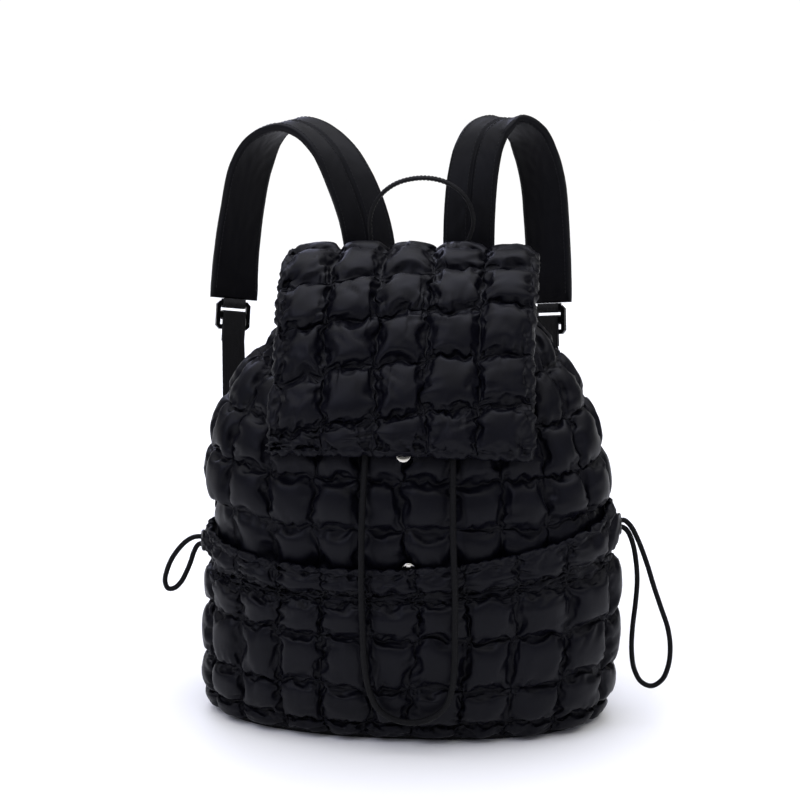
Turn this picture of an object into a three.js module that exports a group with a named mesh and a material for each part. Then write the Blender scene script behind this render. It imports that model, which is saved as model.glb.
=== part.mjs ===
// Quilted puffer backpack: a hollow quilted sack on a flat base, with a fold-over flap, a gathered pouch
// pocket on the front, two padded shoulder straps, a haul handle, a drawstring and two side cord loops.
//
// Sizes are in millimetres. X runs to the right as seen from the front, Y from the front to the back and
// Z up. The origin is the middle of the base panel's underside, on the surface that the bag stands on.

import * as THREE from 'three';

const { abs, ceil, cos, floor, max, min, sign, sin, PI } = Math;

// Room left between pieces that touch
const TOUCH_GAP = 0.3;

// Sack
const BODY_WIDTH = 318;
const BODY_DEPTH = 160;
const BODY_HEIGHT = 336;
const BODY_WALL = 3;
const BODY_PUFF = 8;
const BASE_THICKNESS = 4;
const BASE_LIP = 2;
const FRONT_ROUNDNESS = 2.3;
const BACK_ROUNDNESS = 3.0;
const BODY_COLUMNS = 22;
const BODY_COLUMN_SHIFT = 6;

// Front pouch pocket
const POCKET_WALL = 2.5;
const POCKET_PUFF = 7.5;
const POCKET_SEAT = 1.2;
const POCKET_SLACK = 11;
const POCKET_HEM_SKEW = 22;
const POCKET_COLUMNS = 11;
const POCKET_COLUMN_SHIFT = 12;

// Flap
const FLAP_WIDTH = 190;
const FLAP_MIDDLE_X = -3;
const FLAP_WALL = 3;
const FLAP_PUFF = 8.5;
const FLAP_ROOM = 6.5;
const FLAP_CROWN = 13;
const FLAP_CROWN_POWER = 2.6;
const FLAP_COLUMNS = 5;
const FLAP_ROWS = 7;
const FLAP_HEM = 27;
const FLAP_HEM_PUFF = 0.8;
const FLAP_SLANT = 13;

// Shoulder straps and their webbing
const STRAP_WIDTH = 42;
const STRAP_THICKNESS = 7;
const STRAP_SEAM_GROOVE = 1;
const STRAP_RISE = 156;
const STRAP_SWING = 56;
const STRAP_ROOT_X = 40;
const WEBBING_WIDTH = 20;
const WEBBING_THICKNESS = 1.6;

// Sliders
const SLIDER_WIDTH = 30;
const SLIDER_SIDE = 3.5;
const SLIDER_BAR = 4;
const SLIDER_SLOT = 6;
const SLIDER_THICKNESS = 3;
const SLIDER_CORNER = 3;

// Side tabs that hold the webbing's lower ends
const ANCHOR_REACH = 40;
const ANCHOR_HEIGHT = 48;
const ANCHOR_THICKNESS = 3;
const ANCHOR_COLUMN = 7;
const ANCHOR_ROOT_GAP = 2.4;
const WEBBING_TAIL = 10;

// Haul handle
const HANDLE_SPAN = 84;
const HANDLE_RISE = 77;
const HANDLE_WIDTH = 6;
const HANDLE_THICKNESS = 3.2;
const HANDLE_MIDDLE_X = 1;
const FLAP_BACK_FOLD = 2;

// Cords and hardware
const DRAWSTRING_DIAMETER = 4.8;
const LOOP_DIAMETER = 4;
const EYELET_DIAMETER = 17;
const EYELET_HOLE = 10.6;
const EYELET_THICKNESS = 2.4;
const EYELET_COLUMN = 0.35;
const EYELET_ROW = 0.5;
const SNAP_DIAMETER = 11;
const SNAP_THICKNESS = 3;
const SNAP_POST_DIAMETER = 3.4;
const SNAP_STAND = 5.5;
const SNAP_ROOT = 2;

// The sack's sections. height is a share of BODY_HEIGHT above the base panel, width a share of BODY_WIDTH,
// front and back the shares of BODY_DEPTH that the section reaches forwards and backwards, and lean the
// share of BODY_WIDTH that its middle sits to the left.
const BODY_SECTIONS = [
  { height: 0.0, width: 0.925, front: 0.42, back: 0.39, lean: 0.018 },
  { height: 0.042, width: 0.962, front: 0.45, back: 0.422, lean: 0.014 },
  { height: 0.122, width: 0.965, front: 0.472, back: 0.45, lean: 0.008 },
  { height: 0.285, width: 0.96, front: 0.478, back: 0.468, lean: 0.0 },
  { height: 0.404, width: 0.955, front: 0.49, back: 0.475, lean: 0.004 },
  { height: 0.494, width: 0.955, front: 0.522, back: 0.477, lean: 0.008 },
  { height: 0.598, width: 0.94, front: 0.498, back: 0.477, lean: 0.015 },
  { height: 0.702, width: 0.885, front: 0.425, back: 0.474, lean: 0.02 },
  { height: 0.777, width: 0.81, front: 0.35, back: 0.468, lean: 0.018 },
  { height: 0.842, width: 0.71, front: 0.268, back: 0.46, lean: 0.012 },
  { height: 0.896, width: 0.6, front: 0.19, back: 0.45, lean: 0.006 },
  { height: 0.94, width: 0.49, front: 0.1, back: 0.435, lean: 0.0 },
  { height: 0.976, width: 0.43, front: 0.03, back: 0.4, lean: 0.0 },
  { height: 1.0, width: 0.415, front: 0.0, back: 0.385, lean: 0.0 },
];

// Heights of the snaps, the straps' roots and the side tabs' middles, as shares of BODY_HEIGHT above the base
// panel
const POCKET_SNAP_UP = 0.415;
const FLAP_SNAP_UP = 0.6598;
const STRAP_ROOT_UP = 0.88;
const ANCHOR_MIDDLE_UP = 0.2193;

// The sack's quilting rows, from the base up: the height of each seam at the sides and back, and at the
// middle of the front, as shares of BODY_HEIGHT above the base panel. puff is the share of BODY_PUFF of the
// cells above the seam.
const BODY_ROWS = [
  { side: 0.0, front: 0.0, puff: 0.75 },
  { side: 0.06, front: 0.055, puff: 1 },
  { side: 0.15, front: 0.145, puff: 1 },
  { side: 0.268, front: 0.26, puff: 1 },
  { side: 0.385, front: 0.38, puff: 1 },
  { side: 0.515, front: 0.498, puff: 1 },
  { side: 0.63, front: 0.602, puff: 1 },
  { side: 0.742, front: 0.705, puff: 0.9 },
  { side: 0.84, front: 0.795, puff: 0.7 },
  { side: 0.925, front: 0.9, puff: 0.5 },
  { side: 1.0, front: 1.0, puff: 0 },
];

// Where the sack's cells lie flat: rows under the pocket on the front, and rows and columns under the flap's
// seam and the straps' roots on the back
const POCKET_ROWS_COVERED = 4;
const YOKE_ROWS_FROM = 8;
const YOKE_COLUMNS = 4.2;

// The pocket's quilting rows, as shares of BODY_HEIGHT above the base panel. slack is the share of
// POCKET_SLACK that the cloth stands off the sack there, skew the share of POCKET_HEM_SKEW.
const POCKET_ROWS = [
  { side: 0.006, front: 0.006, puff: 0.8, slack: 0, skew: 0 },
  { side: 0.047, front: 0.042, puff: 1, slack: 0.2, skew: 0 },
  { side: 0.138, front: 0.132, puff: 1, slack: 0.65, skew: 0 },
  { side: 0.264, front: 0.252, puff: 1, slack: 1, skew: 0.1 },
  { side: 0.392, front: 0.362, puff: 0.7, slack: 1, skew: 0.73 },
  { side: 0.478, front: 0.42, puff: 0, slack: 1, skew: 1 },
];

// How far round the sack the pocket reaches to each side, as a share of the way round, and how its slack
// dies away towards its sides
const POCKET_EDGE = 0.25;
const POCKET_SLACK_TAPER = 0.8;

// The line that the flap is laid over, from its back seam over the mouth to its front hem: y as a share of
// BODY_DEPTH, z as a share of BODY_HEIGHT above the base panel, and width as a share of FLAP_WIDTH. room is
// 1 where the flap clears the sack's quilting and the drawstring, and 0 where it is sewn down. droop is the
// share of FLAP_CROWN that its side edges hang lower than its middle.
const FLAP_LINE = [
  { y: 0.46, z: 0.9, width: 0.9, room: 0, droop: 0.2 },
  { y: 0.457, z: 0.95, width: 0.94, room: 0, droop: 0.15 },
  { y: 0.44, z: 1.0, width: 0.98, room: 0, droop: 0.15 },
  { y: 0.37, z: 1.04, width: 1.01, room: 0, droop: 0.15 },
  { y: 0.24, z: 1.05, width: 1.02, room: 0.1, droop: 0.2 },
  { y: 0.09, z: 1.03, width: 1.02, room: 0.3, droop: 0.3 },
  { y: -0.045, z: 0.985, width: 1.02, room: 0.65, droop: 0.45 },
  { y: -0.15, z: 0.927, width: 1.01, room: 1, droop: 0.65 },
  { y: -0.24, z: 0.866, width: 1.0, room: 1, droop: 0.85 },
  { y: -0.326, z: 0.8, width: 1.01, room: 1, droop: 1 },
  { y: -0.402, z: 0.73, width: 1.02, room: 1, droop: 1 },
  { y: -0.458, z: 0.66, width: 1.02, room: 1, droop: 1 },
];

// How far the flap's row seams slant, from its back seam to its hem's edge, as shares of FLAP_SLANT that each
// end lies off the middle: the left end towards the hem and the right end away from it
const FLAP_SLANTS = [0, 0, 0.3, 1, 1, 1, 1.1, 0];

// The haul handle's bow, up its left side, over its top and down its right side: across in shares of half
// HANDLE_SPAN and up in shares of HANDLE_RISE
const HANDLE_BOW = [
  { across: -0.93, up: 0.0 },
  { across: -0.95, up: 0.16 },
  { across: -0.97, up: 0.36 },
  { across: -0.98, up: 0.58 },
  { across: -0.82, up: 0.79 },
  { across: -0.48, up: 0.94 },
  { across: 0.04, up: 1.0 },
  { across: 0.5, up: 0.95 },
  { across: 0.85, up: 0.8 },
  { across: 1.0, up: 0.58 },
  { across: 0.94, up: 0.4 },
  { across: 0.74, up: 0.22 },
  { across: 0.6, up: 0.0 },
];

// The straps' routes from their roots on the back: across is in shares of BODY_WIDTH from the root,
// outwards, back in shares of STRAP_SWING and up in shares of STRAP_RISE. turn and roll are the band's
// angles in degrees about the vertical and out of the level.
const STRAP_ROUTES = {
  left: [
    { across: 0.0, back: 0.0, up: 0.04, turn: 0, roll: 0 },
    { across: 0.0, back: 0.02, up: 0.15, turn: 0, roll: 0 },
    { across: 0.002, back: 0.14, up: 0.3, turn: 6, roll: 0 },
    { across: 0.022, back: 0.26, up: 0.52, turn: 20, roll: 0 },
    { across: 0.066, back: 0.42, up: 0.74, turn: 30, roll: 2 },
    { across: 0.112, back: 0.6, up: 0.885, turn: 44, roll: 4 },
    { across: 0.174, back: 0.8, up: 0.98, turn: 56, roll: 6 },
    { across: 0.232, back: 0.92, up: 1.0, turn: 62, roll: 6 },
    { across: 0.293, back: 1.0, up: 0.925, turn: 54, roll: 3 },
    { across: 0.337, back: 1.0, up: 0.77, turn: 45, roll: 0 },
    { across: 0.362, back: 0.94, up: 0.53, turn: 44, roll: 0 },
    { across: 0.376, back: 0.8, up: 0.28, turn: 40, roll: 0 },
    { across: 0.38, back: 0.66, up: 0.07, turn: 32, roll: 0 },
  ],
  right: [
    { across: 0.0, back: 0.0, up: 0.04, turn: 0, roll: 0 },
    { across: 0.0, back: 0.02, up: 0.15, turn: 0, roll: 0 },
    { across: -0.003, back: 0.14, up: 0.3, turn: 0, roll: 0 },
    { across: -0.003, back: 0.26, up: 0.55, turn: 4, roll: 0 },
    { across: 0.004, back: 0.4, up: 0.76, turn: 14, roll: 0 },
    { across: 0.018, back: 0.56, up: 0.9, turn: 22, roll: 0 },
    { across: 0.042, back: 0.74, up: 0.985, turn: 28, roll: 0 },
    { across: 0.088, back: 0.9, up: 1.02, turn: 36, roll: 0 },
    { across: 0.135, back: 0.97, up: 0.96, turn: 36, roll: 0 },
    { across: 0.162, back: 1.0, up: 0.85, turn: 34, roll: 0 },
    { across: 0.182, back: 0.98, up: 0.7, turn: 32, roll: 0 },
    { across: 0.193, back: 0.9, up: 0.5, turn: 32, roll: 0 },
    { across: 0.201, back: 0.78, up: 0.26, turn: 32, roll: 0 },
    { across: 0.205, back: 0.68, up: 0.07, turn: 32, roll: 0 },
  ],
};

// The webbing's hanging points between slider and anchor, as shares of the way down, with how far each
// stands behind the straight line, in shares of STRAP_SWING, and turn, the share of its twist done there
const WEBBING_HANG = [
  { down: 0.15, behind: 0.02, turn: 0.1 },
  { down: 0.32, behind: 0.05, turn: 0.3 },
  { down: 0.5, behind: 0.06, turn: 0.5 },
  { down: 0.68, behind: 0.05, turn: 0.7 },
  { down: 0.86, behind: 0.02, turn: 0.92 },
];

// The free cords, point by point. The drawstring comes out of the mouth's casing under the flap, hangs in
// front of the pocket as one long loop and goes back in.
const DRAWSTRING_POINTS = [
  [-24, -18, 326.5], [-24, -23, 325], [-24.5, -29, 319.5], [-25, -37, 309.5], [-25.5, -46.5, 298],
  [-26, -55.5, 282], [-26.5, -64.5, 266], [-27, -73.2, 250], [-27.5, -80, 235], [-28, -87, 217],
  [-28.5, -94, 196], [-29, -99, 174], [-29, -101.5, 152], [-29, -102.5, 128], [-28, -103, 100],
  [-27, -103, 75], [-24, -101.5, 54], [-17, -99, 37], [-6, -97, 28.5], [8, -96.5, 26], [21, -97, 29.5],
  [32, -99, 39], [38, -101.5, 55], [40, -103, 76], [40, -103, 100], [40, -102.5, 128], [39, -101.5, 152],
  [38, -99, 174], [37.5, -94, 196], [37, -87, 217], [36.5, -80, 235], [36, -73.2, 250], [35, -64.5, 266],
  [34.5, -55.5, 282], [34, -46.5, 298], [33, -37, 309.5], [31.5, -29, 319.5], [31, -23, 325], [31, -18, 326.5],
];
const LEFT_LOOP_POINTS = [
  [-163, -16, 142], [-167, -16.4, 142.4], [-172, -17, 141.6], [-178, -17.6, 138], [-184.5, -18, 131],
  [-189.5, -18.4, 123.5], [-193.5, -18.6, 114], [-195.2, -18.8, 105], [-192.8, -19, 99.3], [-187.5, -19, 100],
  [-182, -18.8, 105.5], [-177.5, -18.4, 114], [-174, -18, 122.5], [-171.5, -17.2, 130], [-168, -16.4, 135.7],
  [-163, -16, 137],
];
const RIGHT_LOOP_POINTS = [
  [161.8, -7.4, 161.1], [166, -7, 161.5], [171, -6.8, 157], [177, -7, 146], [184.5, -8, 127], [190, -9, 110],
  [196, -10, 93], [202, -11, 76], [204.5, -11.5, 60], [203.5, -12, 45], [199, -12, 33], [191, -12, 27.5],
  [183, -12, 30.5], [177, -11.5, 41], [174.6, -11, 56], [174.8, -10, 75], [176.5, -9.5, 95], [177.3, -9, 113],
  [175.8, -8.5, 130], [172.8, -8, 144], [169, -7.6, 152.6], [165.4, -7.5, 155.9], [161.8, -7.4, 156.4],
];

// A side tab's outline: out from the sack in shares of ANCHOR_REACH and up in shares of ANCHOR_HEIGHT from its
// middle. ANCHOR_WEBBING is where the webbing's middle lies on it, as a share of ANCHOR_REACH, and ANCHOR_SEWN
// how far below the middle the webbing ends, as a share of ANCHOR_HEIGHT.
const ANCHOR_OUTLINE = [
  { out: 0, up: -0.5 },
  { out: 1, up: -0.46 },
  { out: 0.72, up: 0.5 },
  { out: 0, up: 0.5 },
];
const ANCHOR_WEBBING = 0.42;
const ANCHOR_SEWN = 0.33;

// Sections of the bands, as shares of half their width and half their thickness. The padded one has a seam
// groove down the middle of its outer face.
const SEAM_GROOVE_FLOOR = 1 - (2 * STRAP_SEAM_GROOVE) / STRAP_THICKNESS;
const PADDED_SECTION = [
  [1, -0.35], [1, 0.35], [0.88, 1], [0.08, 1], [0, SEAM_GROOVE_FLOOR], [-0.08, 1],
  [-0.88, 1], [-1, 0.35], [-1, -0.35], [-0.88, -1], [0.88, -1],
];
const FLAT_SECTION = [[1, -1], [1, 1], [-1, 1], [-1, -1]];
const ROUNDED_SECTION = [
  [1, -0.4], [1, 0.4], [0.6, 1], [-0.6, 1], [-1, 0.4], [-1, -0.4], [-0.6, -1], [0.6, -1],
];

// Fineness: where the lines lie in one quilted cell and in one cell of the lining, the corners round a
// section of the sack, the steps along a strap, the handle and a cord (in diameters), and the sides of round
// pieces
const PILLOW_EDGE = 0.25;
const CELL_STEPS = [0, PILLOW_EDGE, 1 - PILLOW_EDGE];
const LINING_STEPS = [0, 0.5];
const OUTLINE_STEPS = 160;
const STRAP_STEPS = 24;
const HANDLE_STEPS = 20;
const CORD_STEP = 2.5;
const CORD_SIDES = 8;
const ROUND_SIDES = 14;

// Colours and finishes
const NYLON = { color: 0x1b1b20, roughness: 0.5, metalness: 0 };
const STRAP_CLOTH = { color: 0x19191e, roughness: 0.65, metalness: 0 };
const BASE_CLOTH = { color: 0x141417, roughness: 0.7, metalness: 0 };
const WEBBING = { color: 0x131315, roughness: 0.8, metalness: 0 };
const CORD = { color: 0x161617, roughness: 0.75, metalness: 0 };
const PLASTIC = { color: 0x0e0e10, roughness: 0.3, metalness: 0 };
const EYELET_METAL = { color: 0x111113, roughness: 0.35, metalness: 0.4 };
const NICKEL = { color: 0xd4d2cc, roughness: 0.18, metalness: 1 };

const backpack = new THREE.Group();

// Adds one named piece to the backpack.
function add(name, geometry, finish) {
  const mesh = new THREE.Mesh(geometry, new THREE.MeshStandardMaterial(finish));
  mesh.name = name;
  backpack.add(mesh);
  return mesh;
}

// A smooth value of one column of a table at a place along its key column: a cubic through the rows whose
// slope at each row is that of the line between its neighbours.
function smoothAt(table, key, column, place) {
  const last = table.length - 1;
  const at = min(max(place, table[0][key]), table[last][key]);
  let i = 0;
  while (i < last - 1 && table[i + 1][key] < at) i += 1;
  const slope = (k) => {
    const a = table[max(k - 1, 0)];
    const b = table[min(k + 1, last)];
    return (b[column] - a[column]) / (b[key] - a[key]);
  };
  const low = table[i];
  const high = table[i + 1];
  const span = high[key] - low[key];
  const t = (at - low[key]) / span;
  const rise = t * t * (3 - 2 * t);
  return (
    low[column] * (1 - rise) +
    high[column] * rise +
    span * (slope(i) * t * (1 - t) * (1 - t) - slope(i + 1) * t * t * (1 - t))
  );
}

// A pillow across one cell: 0 on its seams, rising to 1 within PILLOW_EDGE of them.
function pillow(share) {
  return min(1, min(share, 1 - share) / PILLOW_EDGE);
}

// The places of the lines across a number of cells, from the first seam to the last.
function cellPlaces(cells, steps = CELL_STEPS) {
  const places = [];
  for (let cell = 0; cell < cells; cell += 1) {
    for (const step of steps) places.push(cell + step);
  }
  return [...places, cells];
}

// A closed body from its vertices and triangles, turned to face outwards.
function closedGeometry(points, triangles) {
  let volume = 0;
  for (const [a, b, c] of triangles) {
    volume += points[a].dot(new THREE.Vector3().crossVectors(points[b], points[c]));
  }
  const index = triangles.flatMap(([a, b, c]) => (volume < 0 ? [a, c, b] : [a, b, c]));
  const geometry = new THREE.BufferGeometry().setFromPoints(points);
  geometry.setIndex(index);
  geometry.computeVertexNormals();
  return geometry;
}

// A body through a row of closed rings with the same number of points, ended by two flat fans. Each four-sided
// patch is split along its shorter diagonal, so both faces of a twisted band split alike.
function ringLoft(rings) {
  const count = rings[0].length;
  const points = rings.flat();
  const triangles = [];
  for (let r = 0; r + 1 < rings.length; r += 1) {
    for (let k = 0; k < count; k += 1) {
      const a = r * count + k;
      const b = r * count + ((k + 1) % count);
      const [c, d] = [b + count, a + count];
      const splitAtA = points[a].distanceTo(points[c]) <= points[b].distanceTo(points[d]);
      if (splitAtA) triangles.push([a, b, c], [a, c, d]);
      else triangles.push([a, b, d], [b, c, d]);
    }
  }
  for (const ring of [0, rings.length - 1]) {
    const centre = points.length;
    points.push(rings[ring].reduce((sum, p) => sum.add(p), new THREE.Vector3()).divideScalar(count));
    for (let k = 0; k < count; k += 1) {
      const a = ring * count + k;
      const b = ring * count + ((k + 1) % count);
      triangles.push(ring === 0 ? [centre, b, a] : [centre, a, b]);
    }
  }
  return closedGeometry(points, triangles);
}

// The edge of a grid of points, once round, each with its place from 0 to 4 along the four sides.
function gridEdge(grid, firstIndex) {
  const rows = grid.length - 1;
  const columns = grid[0].length - 1;
  const edge = [];
  const put = (r, c, place) => edge.push({ index: firstIndex + r * (columns + 1) + c, place });
  for (let c = 0; c < columns; c += 1) put(0, c, grid.columnShares[c]);
  for (let r = 0; r < rows; r += 1) put(r, columns, 1 + grid.rowShares[r]);
  for (let c = columns; c > 0; c -= 1) put(rows, c, 3 - grid.columnShares[c]);
  for (let r = rows; r > 0; r -= 1) put(r, 0, 4 - grid.rowShares[r]);
  return edge;
}

// A grid of points over a sheet's rows and columns, with each line's share of the way across the sheet.
function sheetGrid(rows, columns, pointAt) {
  const grid = rows.map((row) => columns.map((column) => pointAt(row, column)));
  grid.rowShares = rows.map((row) => row / rows[rows.length - 1]);
  grid.columnShares = columns.map((column) => column / columns[columns.length - 1]);
  return grid;
}

// A sheet with thickness: an outer grid and an inner one, which may be coarser, joined around their edges.
function sheetSolid(outer, inner) {
  const points = [...outer.flat(), ...inner.flat()];
  const innerStart = outer.flat().length;
  const triangles = [];
  const cover = (grid, start, flip) => {
    const width = grid[0].length;
    for (let r = 0; r + 1 < grid.length; r += 1) {
      for (let c = 0; c + 1 < width; c += 1) {
        const corner = start + r * width + c;
        const far = corner + width + 1;
        const sides = flip ? [corner + width, corner + 1] : [corner + 1, corner + width];
        triangles.push([corner, sides[0], far], [corner, far, sides[1]]);
      }
    }
  };
  cover(outer, 0, false);
  cover(inner, innerStart, true);
  const outside = gridEdge(outer, 0);
  const inside = gridEdge(inner, innerStart);
  let i = 0;
  let j = 0;
  while (i < outside.length || j < inside.length) {
    const nextOut = i + 1 < outside.length ? outside[i + 1].place : 4;
    const nextIn = j + 1 < inside.length ? inside[j + 1].place : 4;
    const here = outside[i % outside.length].index;
    const there = inside[j % inside.length].index;
    const stepOut = j >= inside.length || (i < outside.length && nextOut <= nextIn);
    if (stepOut) {
      i += 1;
      triangles.push([here, there, outside[i % outside.length].index]);
    } else {
      j += 1;
      triangles.push([here, there, inside[j % inside.length].index]);
    }
  }
  return closedGeometry(points, triangles);
}

// Sack

const sackFloor = BASE_THICKNESS + TOUCH_GAP;

// A point on the sack's seam surface: around is the share of the way round the section from the seam in the
// middle of the front, over the right side, and up the share of BODY_HEIGHT above the base panel. That seam
// sits BODY_COLUMN_SHIFT to the right of the middle.
const outlineCache = new Map();
function sackOutline(up) {
  if (outlineCache.has(up)) return outlineCache.get(up);
  const half = (BODY_WIDTH * smoothAt(BODY_SECTIONS, 'height', 'width', up)) / 2;
  const front = -BODY_DEPTH * smoothAt(BODY_SECTIONS, 'height', 'front', up);
  const back = BODY_DEPTH * smoothAt(BODY_SECTIONS, 'height', 'back', up);
  const lean = -BODY_WIDTH * smoothAt(BODY_SECTIONS, 'height', 'lean', up);
  const corners = [];
  for (let k = 0; k <= OUTLINE_STEPS; k += 1) {
    const angle = (2 * PI * k) / OUTLINE_STEPS;
    const power = 2 / (cos(angle) > 0 ? FRONT_ROUNDNESS : BACK_ROUNDNESS);
    const x = lean + half * sign(sin(angle)) * abs(sin(angle)) ** power;
    const y = (front + back) / 2 - ((back - front) / 2) * sign(cos(angle)) * abs(cos(angle)) ** power;
    corners.push(new THREE.Vector2(x, y));
  }
  const lengths = [0];
  for (let k = 1; k <= OUTLINE_STEPS; k += 1) {
    lengths.push(lengths[k - 1] + corners[k].distanceTo(corners[k - 1]));
  }
  const outline = { corners, lengths };
  outlineCache.set(up, outline);
  return outline;
}
function sackPoint(around, up) {
  const { corners, lengths } = sackOutline(up);
  const share = around + BODY_COLUMN_SHIFT / lengths[OUTLINE_STEPS];
  const target = (share - floor(share)) * lengths[OUTLINE_STEPS];
  let k = 1;
  while (lengths[k] < target) k += 1;
  const t = (target - lengths[k - 1]) / (lengths[k] - lengths[k - 1]);
  const flat = corners[k - 1].clone().lerp(corners[k], t);
  return new THREE.Vector3(flat.x, flat.y, sackFloor + up * BODY_HEIGHT);
}

// The outward direction of the seam surface.
function sackNormal(around, up) {
  const small = 0.004;
  const low = max(up - small, 0);
  const high = min(up + small, 1);
  const across = sackPoint(around + small, up).sub(sackPoint(around - small, up));
  const upwards = sackPoint(around, high).sub(sackPoint(around, low));
  return across.cross(upwards).normalize();
}

// How far a place round the sack is on its front: 1 in the middle of the front, 0 from the sides backwards.
function frontness(around) {
  return max(0, cos(2 * PI * around));
}

// The height of a row line at a place round the sack; rows may be fractions, between two seams.
function rowHeight(rows, row, around) {
  const low = rows[floor(row)];
  const high = rows[min(floor(row) + 1, rows.length - 1)];
  const t = row - floor(row);
  const mix = frontness(around);
  const side = low.side * (1 - t) + high.side * t;
  const front = low.front * (1 - t) + high.front * t;
  const skew = ((low.skew ?? 0) * (1 - t) + (high.skew ?? 0) * t) * (POCKET_HEM_SKEW / BODY_HEIGHT / 2);
  return side * (1 - mix) + front * mix + skew * sin(2 * PI * around);
}

// The sack's quilting: how far its cloth stands off the seam surface. The pocket's hem presses the row that
// it crosses flat towards the sides.
function sackPuff(row, column) {
  const cellRow = min(floor(row), BODY_ROWS.length - 2);
  const fromFront = min(column, BODY_COLUMNS - column);
  const onFront = fromFront < ceil(POCKET_EDGE * BODY_COLUMNS);
  const underPocket = onFront && cellRow < POCKET_ROWS_COVERED;
  const underYoke = cellRow >= YOKE_ROWS_FROM && BODY_COLUMNS / 2 - fromFront < YOKE_COLUMNS;
  if (underPocket || underYoke) return 0;
  const pressed = onFront && cellRow === POCKET_ROWS_COVERED ? frontness(column / BODY_COLUMNS) : 1;
  const pillowed = pillow(row - cellRow) * pillow(column - floor(column));
  return BODY_PUFF * BODY_ROWS[cellRow].puff * pressed * pillowed;
}

// One ring round the sack, at a row line, offset outwards from the seam surface.
const sackColumns = cellPlaces(BODY_COLUMNS).slice(0, -1);
function sackRing(row, offset) {
  return sackColumns.map((column) => {
    const around = column / BODY_COLUMNS;
    const up = rowHeight(BODY_ROWS, row, around);
    return sackPoint(around, up).addScaledVector(sackNormal(around, up), offset(row, column));
  });
}

function makeSack() {
  const outer = cellPlaces(BODY_ROWS.length - 1).map((row) => sackRing(row, sackPuff));
  const liningRows = BODY_ROWS.map((_, row) => row).filter((row) => row >= YOKE_ROWS_FROM || row % 2 === 0);
  const inner = liningRows.reverse().map((row) => sackRing(row, () => -BODY_WALL));
  for (const point of inner[inner.length - 1]) point.z = sackFloor + BODY_WALL;
  return ringLoft([...outer, ...inner]);
}
add('quilted_sack', makeSack(), NYLON);

function makeBasePanel() {
  const corners = cellPlaces(BODY_COLUMNS, LINING_STEPS).slice(0, -1).map((column) => {
    const point = sackPoint(column / BODY_COLUMNS, 0);
    const outwards = sackNormal(column / BODY_COLUMNS, 0).setZ(0).normalize();
    return point.addScaledVector(outwards, BASE_LIP);
  });
  const shape = new THREE.Shape(corners.map((p) => new THREE.Vector2(p.x, p.y)));
  return new THREE.ExtrudeGeometry(shape, { depth: BASE_THICKNESS, bevelEnabled: false });
}
add('base_panel', makeBasePanel(), BASE_CLOTH);

// Front pouch pocket

// A point of the pocket's cloth, off the sack by its slack and by a height of its own. The seams in the
// middle sit POCKET_COLUMN_SHIFT to the left of an even spacing.
const pocketReach = POCKET_EDGE * sackOutline(POCKET_ROWS[0].front).lengths[OUTLINE_STEPS];
function pocketPoint(row, column, height) {
  const even = (2 * column) / POCKET_COLUMNS - 1;
  const shift = (POCKET_COLUMN_SHIFT / pocketReach) * (1 - even * even);
  const around = POCKET_EDGE * (even - shift);
  const up = rowHeight(POCKET_ROWS, row, around);
  const low = POCKET_ROWS[floor(row)];
  const high = POCKET_ROWS[min(floor(row) + 1, POCKET_ROWS.length - 1)];
  const slack = low.slack + (high.slack - low.slack) * (row - floor(row));
  const standOff = POCKET_SEAT + POCKET_SLACK * slack * frontness(around) ** POCKET_SLACK_TAPER;
  return sackPoint(around, up).addScaledVector(sackNormal(around, up), standOff + height);
}
function pocketPuff(row, column) {
  const cellRow = min(floor(row), POCKET_ROWS.length - 2);
  const cellColumn = min(floor(column), POCKET_COLUMNS - 1);
  return POCKET_PUFF * POCKET_ROWS[cellRow].puff * pillow(row - cellRow) * pillow(column - cellColumn);
}
function makePocket() {
  const count = POCKET_ROWS.length - 1;
  const outside = (row, column) => pocketPoint(row, column, POCKET_WALL + pocketPuff(row, column));
  const inside = (row, column) => pocketPoint(row, column, 0);
  return sheetSolid(
    sheetGrid(cellPlaces(count), cellPlaces(POCKET_COLUMNS), outside),
    sheetGrid(cellPlaces(count, LINING_STEPS), cellPlaces(POCKET_COLUMNS, LINING_STEPS), inside),
  );
}
add('front_pocket', makePocket(), NYLON);

// Flap

// The flap's line as points, lifted off the sack's quilting where it isn't sewn down, with the length that
// each has from the back seam.
function flapStations() {
  const line = FLAP_LINE.map((row) => new THREE.Vector2(BODY_DEPTH * row.y, sackFloor + BODY_HEIGHT * row.z));
  const lifted = line.map((point, k) => {
    const along = line[min(k + 1, line.length - 1)].clone().sub(line[max(k - 1, 0)]);
    const outwards = new THREE.Vector2(along.y, -along.x).normalize();
    const room = FLAP_LINE[k].room;
    return point.clone().addScaledVector(outwards, TOUCH_GAP + room * (BODY_PUFF + FLAP_ROOM - TOUCH_GAP));
  });
  let length = 0;
  return lifted.map((point, k) => {
    if (k > 0) length += point.distanceTo(lifted[k - 1]);
    const { width, droop } = FLAP_LINE[k];
    return { length, y: point.x, z: point.y, half: (FLAP_WIDTH * width) / 2, droop: FLAP_CROWN * droop };
  });
}
const flapLine = flapStations();
const flapLength = flapLine[flapLine.length - 1].length;
const flapRowPitch = (flapLength - FLAP_HEM) / (FLAP_ROWS - 1);

// The length along the flap's line at a row line; row 0 is the back seam and the last row the hem.
function flapLengthAt(row) {
  const whole = FLAP_ROWS - 1;
  return row <= whole ? row * flapRowPitch : whole * flapRowPitch + (row - whole) * FLAP_HEM;
}

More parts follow.
